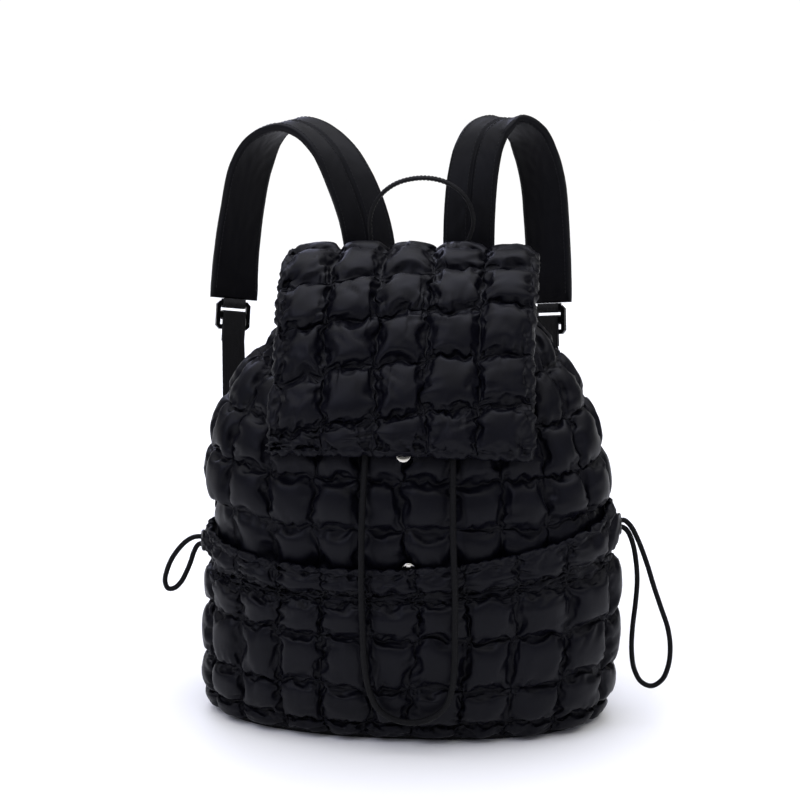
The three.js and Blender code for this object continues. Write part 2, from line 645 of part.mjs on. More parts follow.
// A point of the flap's underside, and the way out of it.
function flapPoint(row, column, height) {
  const across = (2 * column) / FLAP_COLUMNS - 1;
  const slant = FLAP_SLANTS[floor(row)];
  const nextSlant = FLAP_SLANTS[min(floor(row) + 1, FLAP_ROWS)];
  const along = flapLengthAt(row) - FLAP_SLANT * across * (slant + (nextSlant - slant) * (row - floor(row)));
  const at = (name, place) => smoothAt(flapLine, 'length', name, place);
  const small = 1;
  const tangent = new THREE.Vector2(
    at('y', along + small) - at('y', along - small),
    at('z', along + small) - at('z', along - small),
  ).normalize();
  const outwards = new THREE.Vector3(0, tangent.y, -tangent.x);
  const droop = at('droop', along) * abs(across) ** FLAP_CROWN_POWER;
  const x = FLAP_MIDDLE_X + across * at('half', along);
  return new THREE.Vector3(x, at('y', along), at('z', along)).addScaledVector(outwards, height - droop);
}
function flapPuff(row, column) {
  if (row < 1) return 0;
  const cellRow = min(floor(row), FLAP_ROWS - 1);
  const cellColumn = min(floor(column), FLAP_COLUMNS - 1);
  const hemShare = cellRow === FLAP_ROWS - 1 ? FLAP_HEM_PUFF : 1;
  return FLAP_PUFF * hemShare * pillow(row - cellRow) * pillow(column - cellColumn);
}
function makeFlap() {
  const outside = (row, column) => flapPoint(row, column, FLAP_WALL + flapPuff(row, column));
  const inside = (row, column) => flapPoint(row, column, 0);
  return sheetSolid(
    sheetGrid(cellPlaces(FLAP_ROWS), cellPlaces(FLAP_COLUMNS), outside),
    sheetGrid(cellPlaces(FLAP_ROWS, LINING_STEPS), cellPlaces(FLAP_COLUMNS, LINING_STEPS), inside),
  );
}
add('top_flap', makeFlap(), NYLON);

// Bands: a section swept along stations, each with its middle, the way its width runs and the way out

function sweep(stations, section, width, thickness) {
  return ringLoft(
    stations.map(({ middle, across, out }) =>
      section.map(([w, t]) =>
        middle.clone().addScaledVector(across, (w * width) / 2).addScaledVector(out, (t * thickness) / 2),
      ),
    ),
  );
}

// Stations through points, with the mitre that keeps the thickness round each bend. widthWay gives the way
// that the width runs at each point; it is turned square to the band.
function bandStations(points, widthWay) {
  const last = points.length - 1;
  const wayOut = (k) => points[min(k, last - 1) + 1].clone().sub(points[min(k, last - 1)]).normalize();
  return points.map((middle, k) => {
    const before = wayOut(max(k - 1, 0));
    const tangent = before.clone().add(wayOut(k)).normalize();
    const wanted = widthWay(k).clone();
    const across = wanted.addScaledVector(tangent, -wanted.dot(tangent)).normalize();
    const out = new THREE.Vector3().crossVectors(across, tangent).divideScalar(tangent.dot(before));
    return { middle, across, out, tangent };
  });
}

// Shoulder straps

const strapSeatY = BODY_DEPTH * FLAP_LINE[0].y + FLAP_WALL + 2 * TOUCH_GAP;

function strapStations(side, name) {
  const route = STRAP_ROUTES[name];
  const curve = new THREE.CatmullRomCurve3(
    route.map(
      (row) =>
        new THREE.Vector3(
          side * (STRAP_ROOT_X + BODY_WIDTH * row.across),
          strapSeatY + STRAP_THICKNESS / 2 + STRAP_SWING * row.back,
          sackFloor + BODY_HEIGHT * STRAP_ROOT_UP + STRAP_RISE * row.up,
        ),
    ),
  );
  const angles = route.map((row, k) => ({ ...row, place: k / (route.length - 1) }));
  const points = curve.getPoints(STRAP_STEPS);
  return bandStations(points, (k) => {
    const turn = THREE.MathUtils.degToRad(smoothAt(angles, 'place', 'turn', k / STRAP_STEPS));
    const roll = THREE.MathUtils.degToRad(smoothAt(angles, 'place', 'roll', k / STRAP_STEPS));
    return new THREE.Vector3(cos(turn) * cos(roll), -side * sin(turn) * cos(roll), -side * sin(roll));
  });
}

// A slider: a frame with two slots, made flat in its own plane with its top bar upwards.
const sliderHeight = 3 * SLIDER_BAR + 2 * SLIDER_SLOT;
function sliderGeometry() {
  const half = SLIDER_WIDTH / 2;
  const tall = sliderHeight / 2;
  const inX = half - SLIDER_CORNER;
  const inY = tall - SLIDER_CORNER;
  const corners = [
    [inX, -tall], [half, -inY], [half, inY], [inX, tall],
    [-inX, tall], [-half, inY], [-half, -inY], [-inX, -tall],
  ];
  const frame = new THREE.Shape(corners.map(([x, y]) => new THREE.Vector2(x, y)));
  const slotHalf = half - SLIDER_SIDE;
  for (const up of [-1, 1]) {
    const low = (up * (SLIDER_BAR + SLIDER_SLOT)) / 2 - SLIDER_SLOT / 2;
    const high = low + SLIDER_SLOT;
    const slot = [[-slotHalf, low], [-slotHalf, high], [slotHalf, high], [slotHalf, low]];
    frame.holes.push(new THREE.Path(slot.map(([x, y]) => new THREE.Vector2(x, y))));
  }
  const geometry = new THREE.ExtrudeGeometry(frame, { depth: SLIDER_THICKNESS, bevelEnabled: false });
  return geometry.translate(0, 0, -SLIDER_THICKNESS / 2);
}

// A flat band through points, at the webbing's width and thickness.
function webbingBand(points, widthWay) {
  return sweep(bandStations(points, widthWay), FLAT_SECTION, WEBBING_WIDTH, WEBBING_THICKNESS);
}

// A side tab, stood on edge in one of the sack's upright seams: out is the way off the sack, and face the
// way off the tab's rear, where the webbing is sewn on.
function anchorFrame(side) {
  const around = (side * ANCHOR_COLUMN) / BODY_COLUMNS;
  const out = sackNormal(around, ANCHOR_MIDDLE_UP).setZ(0).normalize();
  const root = sackPoint(around, ANCHOR_MIDDLE_UP).addScaledVector(out, ANCHOR_ROOT_GAP);
  const face = new THREE.Vector3(0, 0, side).cross(out);
  return { root, out, face };
}
function makeAnchor(frame, name) {
  const outline = ANCHOR_OUTLINE.map(
    ({ out, up }) => new THREE.Vector2(ANCHOR_REACH * out, ANCHOR_HEIGHT * up),
  );
  const shape = new THREE.Shape(outline);
  const geometry = new THREE.ExtrudeGeometry(shape, { depth: ANCHOR_THICKNESS, bevelEnabled: false });
  const tab = add(`strap_anchor_${name}`, geometry.translate(0, 0, -ANCHOR_THICKNESS / 2), STRAP_CLOTH);
  const up = new THREE.Vector3(0, 0, 1);
  const across = new THREE.Vector3().crossVectors(frame.out, up);
  tab.quaternion.setFromRotationMatrix(new THREE.Matrix4().makeBasis(frame.out, up, across));
  tab.position.copy(frame.root);
}

// One shoulder strap with its slider, the loop that holds the slider, the webbing and its side tab.
function makeStrap(side, name) {
  const stations = strapStations(side, name);
  const strap = sweep(stations, PADDED_SECTION, STRAP_WIDTH, STRAP_THICKNESS);
  add(`shoulder_strap_${name}`, strap, STRAP_CLOTH);

  const { middle: strapEnd, across, out, tangent: down } = stations[stations.length - 1];
  const loopTop = TOUCH_GAP;
  const barTop = loopTop + TOUCH_GAP + WEBBING_THICKNESS;
  const middle = strapEnd.clone().addScaledVector(down, barTop + sliderHeight / 2);
  const slider = add(`strap_slider_${name}`, sliderGeometry(), PLASTIC);
  const up = down.clone().negate();
  const facing = new THREE.Vector3().crossVectors(across, up);
  slider.quaternion.setFromRotationMatrix(new THREE.Matrix4().makeBasis(across, up, facing));
  slider.position.copy(middle);

  // Places in the slider's own plane: how far down from its middle and how far off its outer face
  const place = ([lower, outer]) =>
    middle.clone().addScaledVector(down, lower).addScaledVector(out, outer);
  const layer = WEBBING_THICKNESS + TOUCH_GAP;
  const off = SLIDER_THICKNESS / 2 + TOUCH_GAP + WEBBING_THICKNESS / 2;
  const round = TOUCH_GAP + WEBBING_THICKNESS / 2;
  const top = -sliderHeight / 2;
  const loopEnd = top - barTop + loopTop;
  const underBar = top + SLIDER_BAR + round;
  const loop = [[loopEnd, off], [underBar, off], [underBar, -off], [loopEnd, -off]].map(place);
  add(`strap_loop_${name}`, webbingBand(loop, () => across), WEBBING);

  // The webbing: its tail hangs behind the slider, and it goes through the lower slot, over the middle bar
  // and back through the upper slot, and then down to the side tab
  const bar = SLIDER_BAR / 2 + round;
  const tailEnd = -top + WEBBING_TAIL;
  const threaded = [
    [tailEnd, -off], [bar, -off], [bar, off], [-bar, off], [-bar, -off - layer], [tailEnd, -off - layer],
  ].map(place);
  const anchor = anchorFrame(side);
  const sewn = ANCHOR_THICKNESS / 2 + TOUCH_GAP + WEBBING_THICKNESS / 2;
  const onTab = [ANCHOR_HEIGHT / 2, -ANCHOR_SEWN * ANCHOR_HEIGHT].map((rise) =>
    anchor.root
      .clone()
      .addScaledVector(anchor.out, ANCHOR_REACH * ANCHOR_WEBBING)
      .addScaledVector(anchor.face, sewn)
      .add(new THREE.Vector3(0, 0, rise)),
  );
  const from = threaded[threaded.length - 1];
  const hanging = WEBBING_HANG.map((row) =>
    from.clone().lerp(onTab[0], row.down).add(new THREE.Vector3(0, STRAP_SWING * row.behind, 0)),
  );
  const wayOnTab = anchor.out.clone().multiplyScalar(side);
  const turns = [...threaded.map(() => 0), ...WEBBING_HANG.map((row) => row.turn), 1, 1];
  const widthWay = (k) => across.clone().lerp(wayOnTab, turns[k]).normalize();
  add(`strap_webbing_${name}`, webbingBand([...threaded, ...hanging, ...onTab], widthWay), WEBBING);
  makeAnchor(anchor, name);
}
makeStrap(-1, 'left');
makeStrap(1, 'right');

// Haul handle: its ends stand on the flap's back, at the FLAP_LINE row FLAP_BACK_FOLD, where the flap bends
// over the sack's rim
function makeHandle() {
  const backSeam = flapLine[FLAP_BACK_FOLD];
  const points = HANDLE_BOW.map(
    (row) =>
      new THREE.Vector3(
        HANDLE_MIDDLE_X + (HANDLE_SPAN / 2) * row.across,
        backSeam.y + FLAP_WALL + TOUCH_GAP + HANDLE_WIDTH / 2,
        backSeam.z + HANDLE_RISE * row.up,
      ),
  );
  const curve = new THREE.CatmullRomCurve3(points).getPoints(HANDLE_STEPS);
  const stations = bandStations(curve, () => new THREE.Vector3(0, 1, 0));
  return sweep(stations, ROUNDED_SECTION, HANDLE_WIDTH, HANDLE_THICKNESS);
}
add('haul_handle', makeHandle(), WEBBING);

// Hardware

// Turns a piece made about the Y axis so that this axis points along a way.
function aim(mesh, position, way) {
  mesh.quaternion.setFromUnitVectors(new THREE.Vector3(0, 1, 0), way);
  mesh.position.copy(position);
}

function lathe(profile) {
  return new THREE.LatheGeometry(profile.map(([r, y]) => new THREE.Vector2(r, y)), ROUND_SIDES);
}

function eyeletGeometry() {
  const hole = EYELET_HOLE / 2;
  const rim = EYELET_DIAMETER / 2;
  const soft = EYELET_THICKNESS / 3;
  return lathe([
    [hole, 0], [rim, 0], [rim, EYELET_THICKNESS - soft], [rim - soft, EYELET_THICKNESS],
    [hole + soft, EYELET_THICKNESS], [hole, EYELET_THICKNESS - soft], [hole, 0],
  ]);
}
function makeEyelet(name, column) {
  const row = POCKET_ROWS.length - 2 + EYELET_ROW;
  const at = (r, c) => pocketPoint(r, c, POCKET_WALL + pocketPuff(row, column) + TOUCH_GAP);
  const small = 0.1;
  const along = at(row, column + small).sub(at(row, column - small));
  const upwards = at(row + small, column).sub(at(row - small, column));
  const eyelet = add(`pocket_eyelet_${name}`, eyeletGeometry(), EYELET_METAL);
  aim(eyelet, at(row, column), along.cross(upwards).normalize());
}
makeEyelet('left', EYELET_COLUMN);
makeEyelet('right', POCKET_COLUMNS - EYELET_COLUMN);

// A snap's cap on its post, which stands in the seam in the middle of the sack's front.
function snapGeometry() {
  const cap = SNAP_DIAMETER / 2;
  const post = SNAP_POST_DIAMETER / 2;
  const top = SNAP_STAND + SNAP_THICKNESS;
  return lathe([
    [0, SNAP_ROOT], [post, SNAP_ROOT], [post, SNAP_STAND], [cap, SNAP_STAND],
    [cap, SNAP_STAND + SNAP_THICKNESS / 2], [cap * 0.75, top - SNAP_THICKNESS / 6], [0, top],
  ]);
}
function makeSnap(name, up) {
  const snap = add(name, snapGeometry(), NICKEL);
  aim(snap, sackPoint(0, up), sackNormal(0, up));
}
makeSnap('pocket_snap', POCKET_SNAP_UP);
makeSnap('flap_snap', FLAP_SNAP_UP);

// Cords

function cordGeometry(points, diameter) {
  const corners = Array.from({ length: CORD_SIDES }, (_, k) => {
    const angle = (2 * PI * k) / CORD_SIDES;
    return new THREE.Vector2(cos(angle), sin(angle)).multiplyScalar(diameter / 2);
  });
  const extrudePath = new THREE.CatmullRomCurve3(points.map((p) => new THREE.Vector3(...p)));
  const steps = ceil(extrudePath.getLength() / (CORD_STEP * diameter));
  return new THREE.ExtrudeGeometry(new THREE.Shape(corners), { extrudePath, steps, bevelEnabled: false });
}
add('drawstring', cordGeometry(DRAWSTRING_POINTS, DRAWSTRING_DIAMETER), CORD);
add('pocket_cord_left', cordGeometry(LEFT_LOOP_POINTS, LOOP_DIAMETER), CORD);
add('pocket_cord_right', cordGeometry(RIGHT_LOOP_POINTS, LOOP_DIAMETER), CORD);

export default backpack;
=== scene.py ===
"""Looks of the quilted puffer backpack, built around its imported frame.

Lengths are in metres and in the frame's own axes: X to the right as seen from the front, -Y out of the
front and Z up, from the middle of the base's underside.
"""

import itertools
import logging
import math
from collections.abc import Callable
from dataclasses import dataclass, field
from enum import Enum

import bpy
import numpy as np
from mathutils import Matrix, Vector


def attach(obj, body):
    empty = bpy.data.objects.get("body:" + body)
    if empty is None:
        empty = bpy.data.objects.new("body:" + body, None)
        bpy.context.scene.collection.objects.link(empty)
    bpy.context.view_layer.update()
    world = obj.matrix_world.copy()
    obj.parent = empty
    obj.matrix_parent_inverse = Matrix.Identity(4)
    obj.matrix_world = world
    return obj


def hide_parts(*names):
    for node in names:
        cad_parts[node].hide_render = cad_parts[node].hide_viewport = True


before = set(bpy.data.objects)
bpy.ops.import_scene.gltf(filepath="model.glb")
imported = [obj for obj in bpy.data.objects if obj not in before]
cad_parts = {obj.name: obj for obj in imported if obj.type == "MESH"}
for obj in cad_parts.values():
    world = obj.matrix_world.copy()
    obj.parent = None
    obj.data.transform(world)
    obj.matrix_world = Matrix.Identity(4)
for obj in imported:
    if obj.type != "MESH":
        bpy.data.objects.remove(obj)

Array = np.ndarray
log = logging.getLogger("backpack")

MM = 0.001
TOUCH_GAP = 0.3 * MM


# Finishes


def linear(colour: str) -> tuple[float, float, float, float]:
    """Turns an sRGB hex colour to linear.

    Args:
        colour: Six hex digits after a hash sign.

    Returns:
        Red, green, blue and an alpha of 1.
    """
    parts = [int(colour[k : k + 2], 16) / 255 for k in (1, 3, 5)]
    red, green, blue = (c / 12.92 if c <= 0.04045 else ((c + 0.055) / 1.055) ** 2.4 for c in parts)
    return red, green, blue, 1.0


def add_node(
    tree: bpy.types.NodeTree, kind: str, settings: dict | None = None, links: dict | None = None
) -> bpy.types.Node:
    """Adds one shader node.

    Args:
        tree: The node tree it goes into.
        kind: Blender's name for the node.
        settings: Values by property name, or by input socket name or number.
        links: Output sockets by the name or number of the input socket that they feed.

    Returns:
        The new node.
    """
    node = tree.nodes.new(kind)
    for name, value in (settings or {}).items():
        if isinstance(name, str) and hasattr(node, name):
            setattr(node, name, value)
        else:
            node.inputs[name].default_value = value
    for name, socket in (links or {}).items():
        tree.links.new(socket, node.inputs[name])
    return node


class Surface(Enum):
    """How a material's surface was made, which sets the relief it is given."""

    CRUMPLED_WEAVE = "crumpled weave"
    PLAIN_WEAVE = "plain weave"
    RIBBED_TAPE = "ribbed tape"
    BRAID = "braid"
    MOULDED = "moulded"
    POLISHED = "polished"
    ENAMELLED = "enamelled"
    PAPER = "paper"


@dataclass(frozen=True)
class Finish:
    """One material: what it is made of, its colours and how it takes the light.

    Attributes:
        name: The material's name, after what it is and how its surface was made.
        colour: Its main colour.
        shade: The second colour that it varies to at random, by a noise pattern across its surface.
        surface: How the surface was made.
        roughness: How dull it is.
        ior: Its refractive index. A metal keeps the default.
        metallic: 1 for bare metal.
        specular: The strength of its mirror-like reflection, 0.5 being what the index gives.
        pitch: The size of its weave, ribs, braid or grain.
        relief: The height of that pattern.
        mottle: The size of its larger unevenness.
        mottle_relief: The height of that unevenness.
    """

    name: str
    colour: str
    shade: str
    surface: Surface
    roughness: float
    ior: float = 1.5
    metallic: float = 0.0
    specular: float = 0.5
    pitch: float = 1 * MM
    relief: float = 0.05 * MM
    mottle: float = 20 * MM
    mottle_relief: float = 0.0

    def material(self) -> bpy.types.Material:
        """Makes the material, or returns it if it is already there."""
        if self.name in bpy.data.materials:
            return bpy.data.materials[self.name]
        made = bpy.data.materials.new(self.name)
        made.use_nodes = True
        tree = made.node_tree
        tree.nodes.clear()
        place = add_node(tree, "ShaderNodeTexCoord")
        settings = {"Scale": 1 / self.mottle, "Detail": 2.0, "Roughness": 0.5, "Distortion": 0.6}
        spread = add_node(tree, "ShaderNodeTexNoise", settings, {"Vector": place.outputs["Object"]})
        settings = {"data_type": "RGBA", 6: linear(self.colour), 7: linear(self.shade)}
        tint = add_node(tree, "ShaderNodeMix", settings, {0: spread.outputs[0]})
        least, most = 0.88 * self.roughness, 1.12 * self.roughness
        settings = {"From Min": 0.3, "From Max": 0.7, "To Min": least, "To Max": most}
        dull = add_node(tree, "ShaderNodeMapRange", settings, {"Value": spread.outputs[0]})
        height = self._pattern(tree, place.outputs["UV"], place.outputs["Object"])
        settings = {"Strength": 1.0, "Distance": self.relief}
        bump = add_node(tree, "ShaderNodeBump", settings, {"Height": height})
        if self.mottle_relief:
            settings = {"Strength": 1.0, "Distance": self.mottle_relief}
            links = {"Height": spread.outputs[0], "Normal": bump.outputs[0]}
            bump = add_node(tree, "ShaderNodeBump", settings, links)
        settings = {
            "IOR": self.ior,
            "Metallic": self.metallic,
            "Specular IOR Level": self.specular,
        }
        links = {"Base Color": tint.outputs[2], "Roughness": dull.outputs[0], "Normal": bump.outputs[0]}
        shader = add_node(tree, "ShaderNodeBsdfPrincipled", settings, links)
        add_node(tree, "ShaderNodeOutputMaterial", links={"Surface": shader.outputs[0]})
        return made

    def _wave(
        self, tree: bpy.types.NodeTree, place: bpy.types.NodeSocket, along: str, pitch: float
    ) -> bpy.types.NodeSocket:
        """Adds a row of ridges.

        Args:
            tree: The material's node tree.
            place: Where the ridges' coordinates come from.
            along: X, Y or DIAGONAL, the way that the ridges follow one another.
            pitch: The distance from one ridge to the next.

        Returns:
            The ridges' height, from 0 to 1.
        """
        # Blender's wave repeats every 1/20 of a turn of its scale: 2 pi / 20 units at a scale of 1
        scale = 2 * math.pi / (20 * pitch)
        settings = {"wave_profile": "SIN", "bands_direction": along, "Scale": scale}
        return add_node(tree, "ShaderNodeTexWave", settings, {"Vector": place}).outputs["Fac"]

    def _pattern(
        self, tree: bpy.types.NodeTree, flat: bpy.types.NodeSocket, solid: bpy.types.NodeSocket
    ) -> bpy.types.NodeSocket:
        """Adds the fine relief of the surface.

        Args:
            tree: The material's node tree.
            flat: The cloth's own coordinates, in metres.
            solid: The object's coordinates, in metres.

        Returns:
            The relief's height.
        """
        if self.surface in (Surface.CRUMPLED_WEAVE, Surface.PLAIN_WEAVE):
            warp = self._wave(tree, flat, "X", self.pitch)
            weft = self._wave(tree, flat, "Y", self.pitch)
            woven = add_node(tree, "ShaderNodeMath", {"operation": "MULTIPLY"}, {0: warp, 1: weft}).outputs[0]
            if self.surface is Surface.PLAIN_WEAVE:
                return woven
            # Calendered cloth is smooth: its crumples show well before its threads
            settings = {"Rotation": (0.2, 0.1, 0.5), "Scale": (1.0, 1.0, 0.45)}
            stretched = add_node(tree, "ShaderNodeMapping", settings, {"Vector": solid})
            settings = {"Scale": 1 / (14 * self.pitch), "Detail": 3.0, "Roughness": 0.5, "Distortion": 1.2}
            crumple = add_node(tree, "ShaderNodeTexNoise", settings, {"Vector": stretched.outputs[0]})
            settings = {"operation": "MULTIPLY_ADD", 1: 4.0}
            return add_node(tree, "ShaderNodeMath", settings, {0: crumple.outputs[0], 2: woven}).outputs[0]
        if self.surface is Surface.RIBBED_TAPE:
            ribs = self._wave(tree, flat, "X", self.pitch)
            picks = self._wave(tree, flat, "DIAGONAL", self.pitch * 0.8)
            settings = {"operation": "MULTIPLY_ADD", 1: 0.6}
            return add_node(tree, "ShaderNodeMath", settings, {0: picks, 2: ribs}).outputs[0]
        if self.surface is Surface.BRAID:
            turned = add_node(tree, "ShaderNodeMapping", {"Scale": (-1.0, 1.0, 1.0)}, {"Vector": flat})
            one = self._wave(tree, flat, "DIAGONAL", self.pitch)
            other = self._wave(tree, turned.outputs[0], "DIAGONAL", self.pitch)
            return add_node(tree, "ShaderNodeMath", {"operation": "MAXIMUM"}, {0: one, 1: other}).outputs[0]
        settings = {"Scale": 1 / self.pitch, "Detail": 2.0, "Roughness": 0.6}
        return add_node(tree, "ShaderNodeTexNoise", settings, {"Vector": solid}).outputs[0]


# Calendered nylon satin over wadding: near black with a cold cast, smooth enough for long soft highlights
# that break up at its crumples. Its threads are 0.1 mm apart, drawn at 0.6 mm so that they show close by.
QUILTED_NYLON = Finish(
    "nylon_satin_calendered", "#040409", "#080810", Surface.CRUMPLED_WEAVE, 0.42, 1.53,
    specular=0.1, pitch=0.6 * MM, relief=0.03 * MM, mottle=28 * MM, mottle_relief=0.12 * MM,
)
# The same cloth without wadding, inside the bag: flatter and duller, and dark in the bag's own shade.
LINING_NYLON = Finish(
    "nylon_lining_plain_woven", "#08080b", "#0c0c10", Surface.PLAIN_WEAVE, 0.55, 1.53,
    specular=0.13, pitch=0.8 * MM, relief=0.03 * MM, mottle=24 * MM, mottle_relief=0.3 * MM,
)
# Nylon plain weave over foam: a little duller than the quilting, with soft unevenness along its edges.
STRAP_NYLON = Finish(
    "nylon_plain_woven_strap", "#050508", "#09090d", Surface.PLAIN_WEAVE, 0.48, 1.53,
    specular=0.1, pitch=0.8 * MM, relief=0.05 * MM, mottle=22 * MM, mottle_relief=0.3 * MM,
)
# Coated nylon over a stiff board: smooth, flat and slightly scuffed.
BASE_NYLON = Finish(
    "nylon_coated_base", "#08080b", "#0c0c10", Surface.PLAIN_WEAVE, 0.46, 1.53,
    specular=0.16, pitch=0.8 * MM, relief=0.04 * MM, mottle=18 * MM, mottle_relief=0.15 * MM,
)
# Polyester webbing, woven with ribs along its length that catch the light in lines.
WEBBING = Finish(
    "polyester_webbing_ribbed", "#08080a", "#0d0d10", Surface.RIBBED_TAPE, 0.46, 1.57,
    specular=0.16, pitch=1.3 * MM, relief=0.16 * MM, mottle=12 * MM,
)
# Folded nylon tape of the handle, with a close diagonal rib.
HANDLE_TAPE = Finish(
    "nylon_tape_folded", "#08080a", "#0d0d10", Surface.RIBBED_TAPE, 0.46, 1.53,
    specular=0.16, pitch=0.9 * MM, relief=0.12 * MM, mottle=10 * MM,
)
# Round polyester braid: strands cross in a close diamond pattern and take the light softly.
BRAIDED_CORD = Finish(
    "polyester_cord_braided", "#050507", "#09090b", Surface.BRAID, 0.55, 1.57,
    specular=0.09, pitch=1.2 * MM, relief=0.22 * MM, mottle=14 * MM,
)
# Bonded polyester sewing thread, a shade lighter than the cloth it sinks into.
THREAD = Finish(
    "polyester_thread_twisted", "#0b0b0e", "#111114", Surface.PLAIN_WEAVE, 0.5, 1.57,
    specular=0.16, pitch=0.4 * MM, relief=0.03 * MM, mottle=8 * MM,
)
# Acetal, injection moulded: an even black with a satin gleam and the faintest grain of its mould.
ACETAL = Finish(
    "acetal_moulded", "#070709", "#0a0a0c", Surface.MOULDED, 0.3, 1.48,
    specular=0.25, pitch=0.9 * MM, relief=0.012 * MM, mottle=15 * MM,
)
# Black enamel on brass: a hard gloss that rounds off the washer's edge in one bright line.
ENAMEL = Finish(
    "brass_black_enamelled", "#0c0c0e", "#131315", Surface.ENAMELLED, 0.22, 1.55,
    pitch=2.5 * MM, relief=0.01 * MM, mottle=10 * MM,
)
# Polished nickel plate: a clear bright mirror, slightly warm, with fine rub marks.
NICKEL = Finish(
    "nickel_plate_polished", "#d9d6cf", "#c5c2bb", Surface.POLISHED, 0.16, metallic=1.0,
    pitch=0.7 * MM, relief=0.006 * MM, mottle=6 * MM,
)
# Matt photographic paper on the floor.
STUDIO_PAPER = Finish(
    "studio_paper_matt", "#fdfdfd", "#fcfcfc", Surface.PAPER, 0.9, 1.5,
    specular=0.1, pitch=4 * MM, relief=0.01 * MM, mottle=500 * MM,
)


# Mesh making


class MeshMaker:
    """Gathers the grids and strips of one mesh, with the cloth's own coordinates in metres on each."""

    def __init__(self) -> None:
        """Starts with nothing."""
        self.points: list[Array] = []
        self.coordinates: list[Array] = []
        self.faces: list[Array] = []
        self.corners: list[Array] = []
        self.count = 0

    def put(self, points: Array, coordinates: Array) -> Array:
        """Adds points and returns their numbers."""
        numbers = self.count + np.arange(len(points))
        self.points.append(points)
        self.coordinates.append(coordinates)
        self.count += len(points)
        return numbers

    def grid(self, points: Array, coordinates: Array, wrap: bool = False, flip: bool = False) -> Array:
        """Adds a grid of four-sided faces.

        Args:
            points: Rows by columns by 3.
            coordinates: Rows by columns by 2, with one more column where the grid is wrapped.
            wrap: Whether the last column joins the first.
            flip: Whether the faces turn the other way round.

        Returns:
            The points' numbers, rows by columns.
        """
        rows, columns = points.shape[:2]
        inner = coordinates[:, :columns].reshape(-1, 2)
        numbers = self.put(points.reshape(-1, 3), inner).reshape(rows, columns)
        row, column = (a.ravel() for a in np.indices((rows - 1, columns if wrap else columns - 1)))
        following = (column + 1) % columns
        quads = [
            numbers[row, column], numbers[row, following],
            numbers[row + 1, following], numbers[row + 1, column],
        ]
        places = [
            coordinates[row, column], coordinates[row, column + 1],
            coordinates[row + 1, column + 1], coordinates[row + 1, column],
        ]
        turn = slice(None, None, -1) if flip else slice(None)
        self.faces.append(np.stack(quads[turn], 1))
        self.corners.append(np.stack(places[turn], 1))
        return numbers

    def fan(self, ring: Array, flip: bool) -> None:
        """Closes a ring of points with a fan from its middle.

        Args:
            ring: The ring's numbers in order.
            flip: Whether the faces turn the other way round.
        """
        points = np.concatenate(self.points)[ring]
        centre = self.put(points.mean(0, keepdims=True), np.zeros((1, 2)))[0]
        following = np.roll(ring, -1)
        pair = (following, ring) if flip else (ring, following)
        self.join(np.stack([np.full(len(ring), centre), *pair], 1))

    def strip(self, one: Array, one_places: Array, other: Array, other_places: Array) -> None:
        """Joins two rows of points, which may have different counts, with triangles.

        Args:
            one: The first row's numbers; a closed row repeats its first.
            one_places: Where each lies along the row, rising.
            other: The second row's numbers.
            other_places: Where each lies along that row.
        """
        faces = []
        i = j = 0
        while i + 1 < len(one) or j + 1 < len(other):
            first = j + 1 >= len(other) or (i + 1 < len(one) and one_places[i + 1] <= other_places[j + 1])
            if first:
                faces.append((one[i], other[j], one[i + 1]))
                i += 1
            else:
                faces.append((one[i], other[j], other[j + 1]))
                j += 1
        self.join(np.array(faces))

    def tube(self, points: Array, coordinates: Array) -> None:
        """Adds a grid that is wrapped round and closed at both ends.

        Args:
            points: Rows by columns by 3.
            coordinates: Rows by columns by 2, with one more column than the points.
        """
        numbers = self.grid(points, coordinates, wrap=True)
        self.fan(numbers[0], flip=True)
        self.fan(numbers[-1], flip=False)

    def join(self, faces: Array) -> None:
        """Adds faces between points that are there already."""
        self.faces.append(faces)
        self.corners.append(np.concatenate(self.coordinates)[faces])

    def finish(self, name: str, finish: Finish) -> bpy.types.Object:
        """Makes the piece, turned to face outwards.

        Args:
            name: The piece's name.
            finish: Its material.

        Returns:
            The piece, in the scene.
        """
        points = np.concatenate(self.points)
        volume = sum(
            np.einsum("ij,ij->i", points[f[:, 0]], np.cross(points[f[:, k]], points[f[:, k + 1]])).sum()
            for f in self.faces
            for k in range(1, f.shape[1] - 1)
        )
        turn = slice(None, None, -1) if volume < 0 else slice(None)
        faces = [row for f in self.faces for row in f[:, turn].tolist()]
        mesh = bpy.data.meshes.new(name)
        mesh.from_pydata(points.tolist(), [], faces)
        layer = mesh.uv_layers.new(name="cloth")
        layer.data.foreach_set("uv", np.concatenate([c[:, turn].reshape(-1) for c in self.corners]))
        mesh.polygons.foreach_set("use_smooth", [True] * len(mesh.polygons))
        mesh.materials.append(finish.material())
        mesh.update()
        piece = bpy.data.objects.new(name, mesh)
        bpy.context.collection.objects.link(piece)
        return piece


def unit(vectors: Array) -> Array:
    """Scales vectors, along the last axis, to a length of 1."""
    return vectors / np.maximum(np.linalg.norm(vectors, axis=-1, keepdims=True), 1e-12)


def distances(points: Array) -> Array:
    """Measures how far along a line through points each of them lies."""
    return np.concatenate([[0], np.cumsum(np.linalg.norm(np.diff(points, axis=0), axis=1))])


def cloth_grid(down: Array, across: Array) -> Array:
    """Lays out a grid's cloth coordinates, from its rows' and its columns' distances."""
    return np.stack(np.meshgrid(down, across, indexing="ij")[::-1], -1)


def closed(ring: Array) -> Array:
    """Repeats a ring's first point at its end."""
    return np.concatenate([ring, ring[:1]])


def grid_normals(points: Array, wrap: bool) -> Array:
    """Finds the way off a grid, as its columns' way crossed with its rows' way.

    Args:
        points: Rows by columns by 3.
        wrap: Whether the last column joins the first.

    Returns:
        The normals, rows by columns by 3.
    """
    if wrap:
        across = np.roll(points, -1, 1) - np.roll(points, 1, 1)
    else:
        across = np.gradient(points, axis=1)
    return unit(np.cross(across, np.gradient(points, axis=0)))


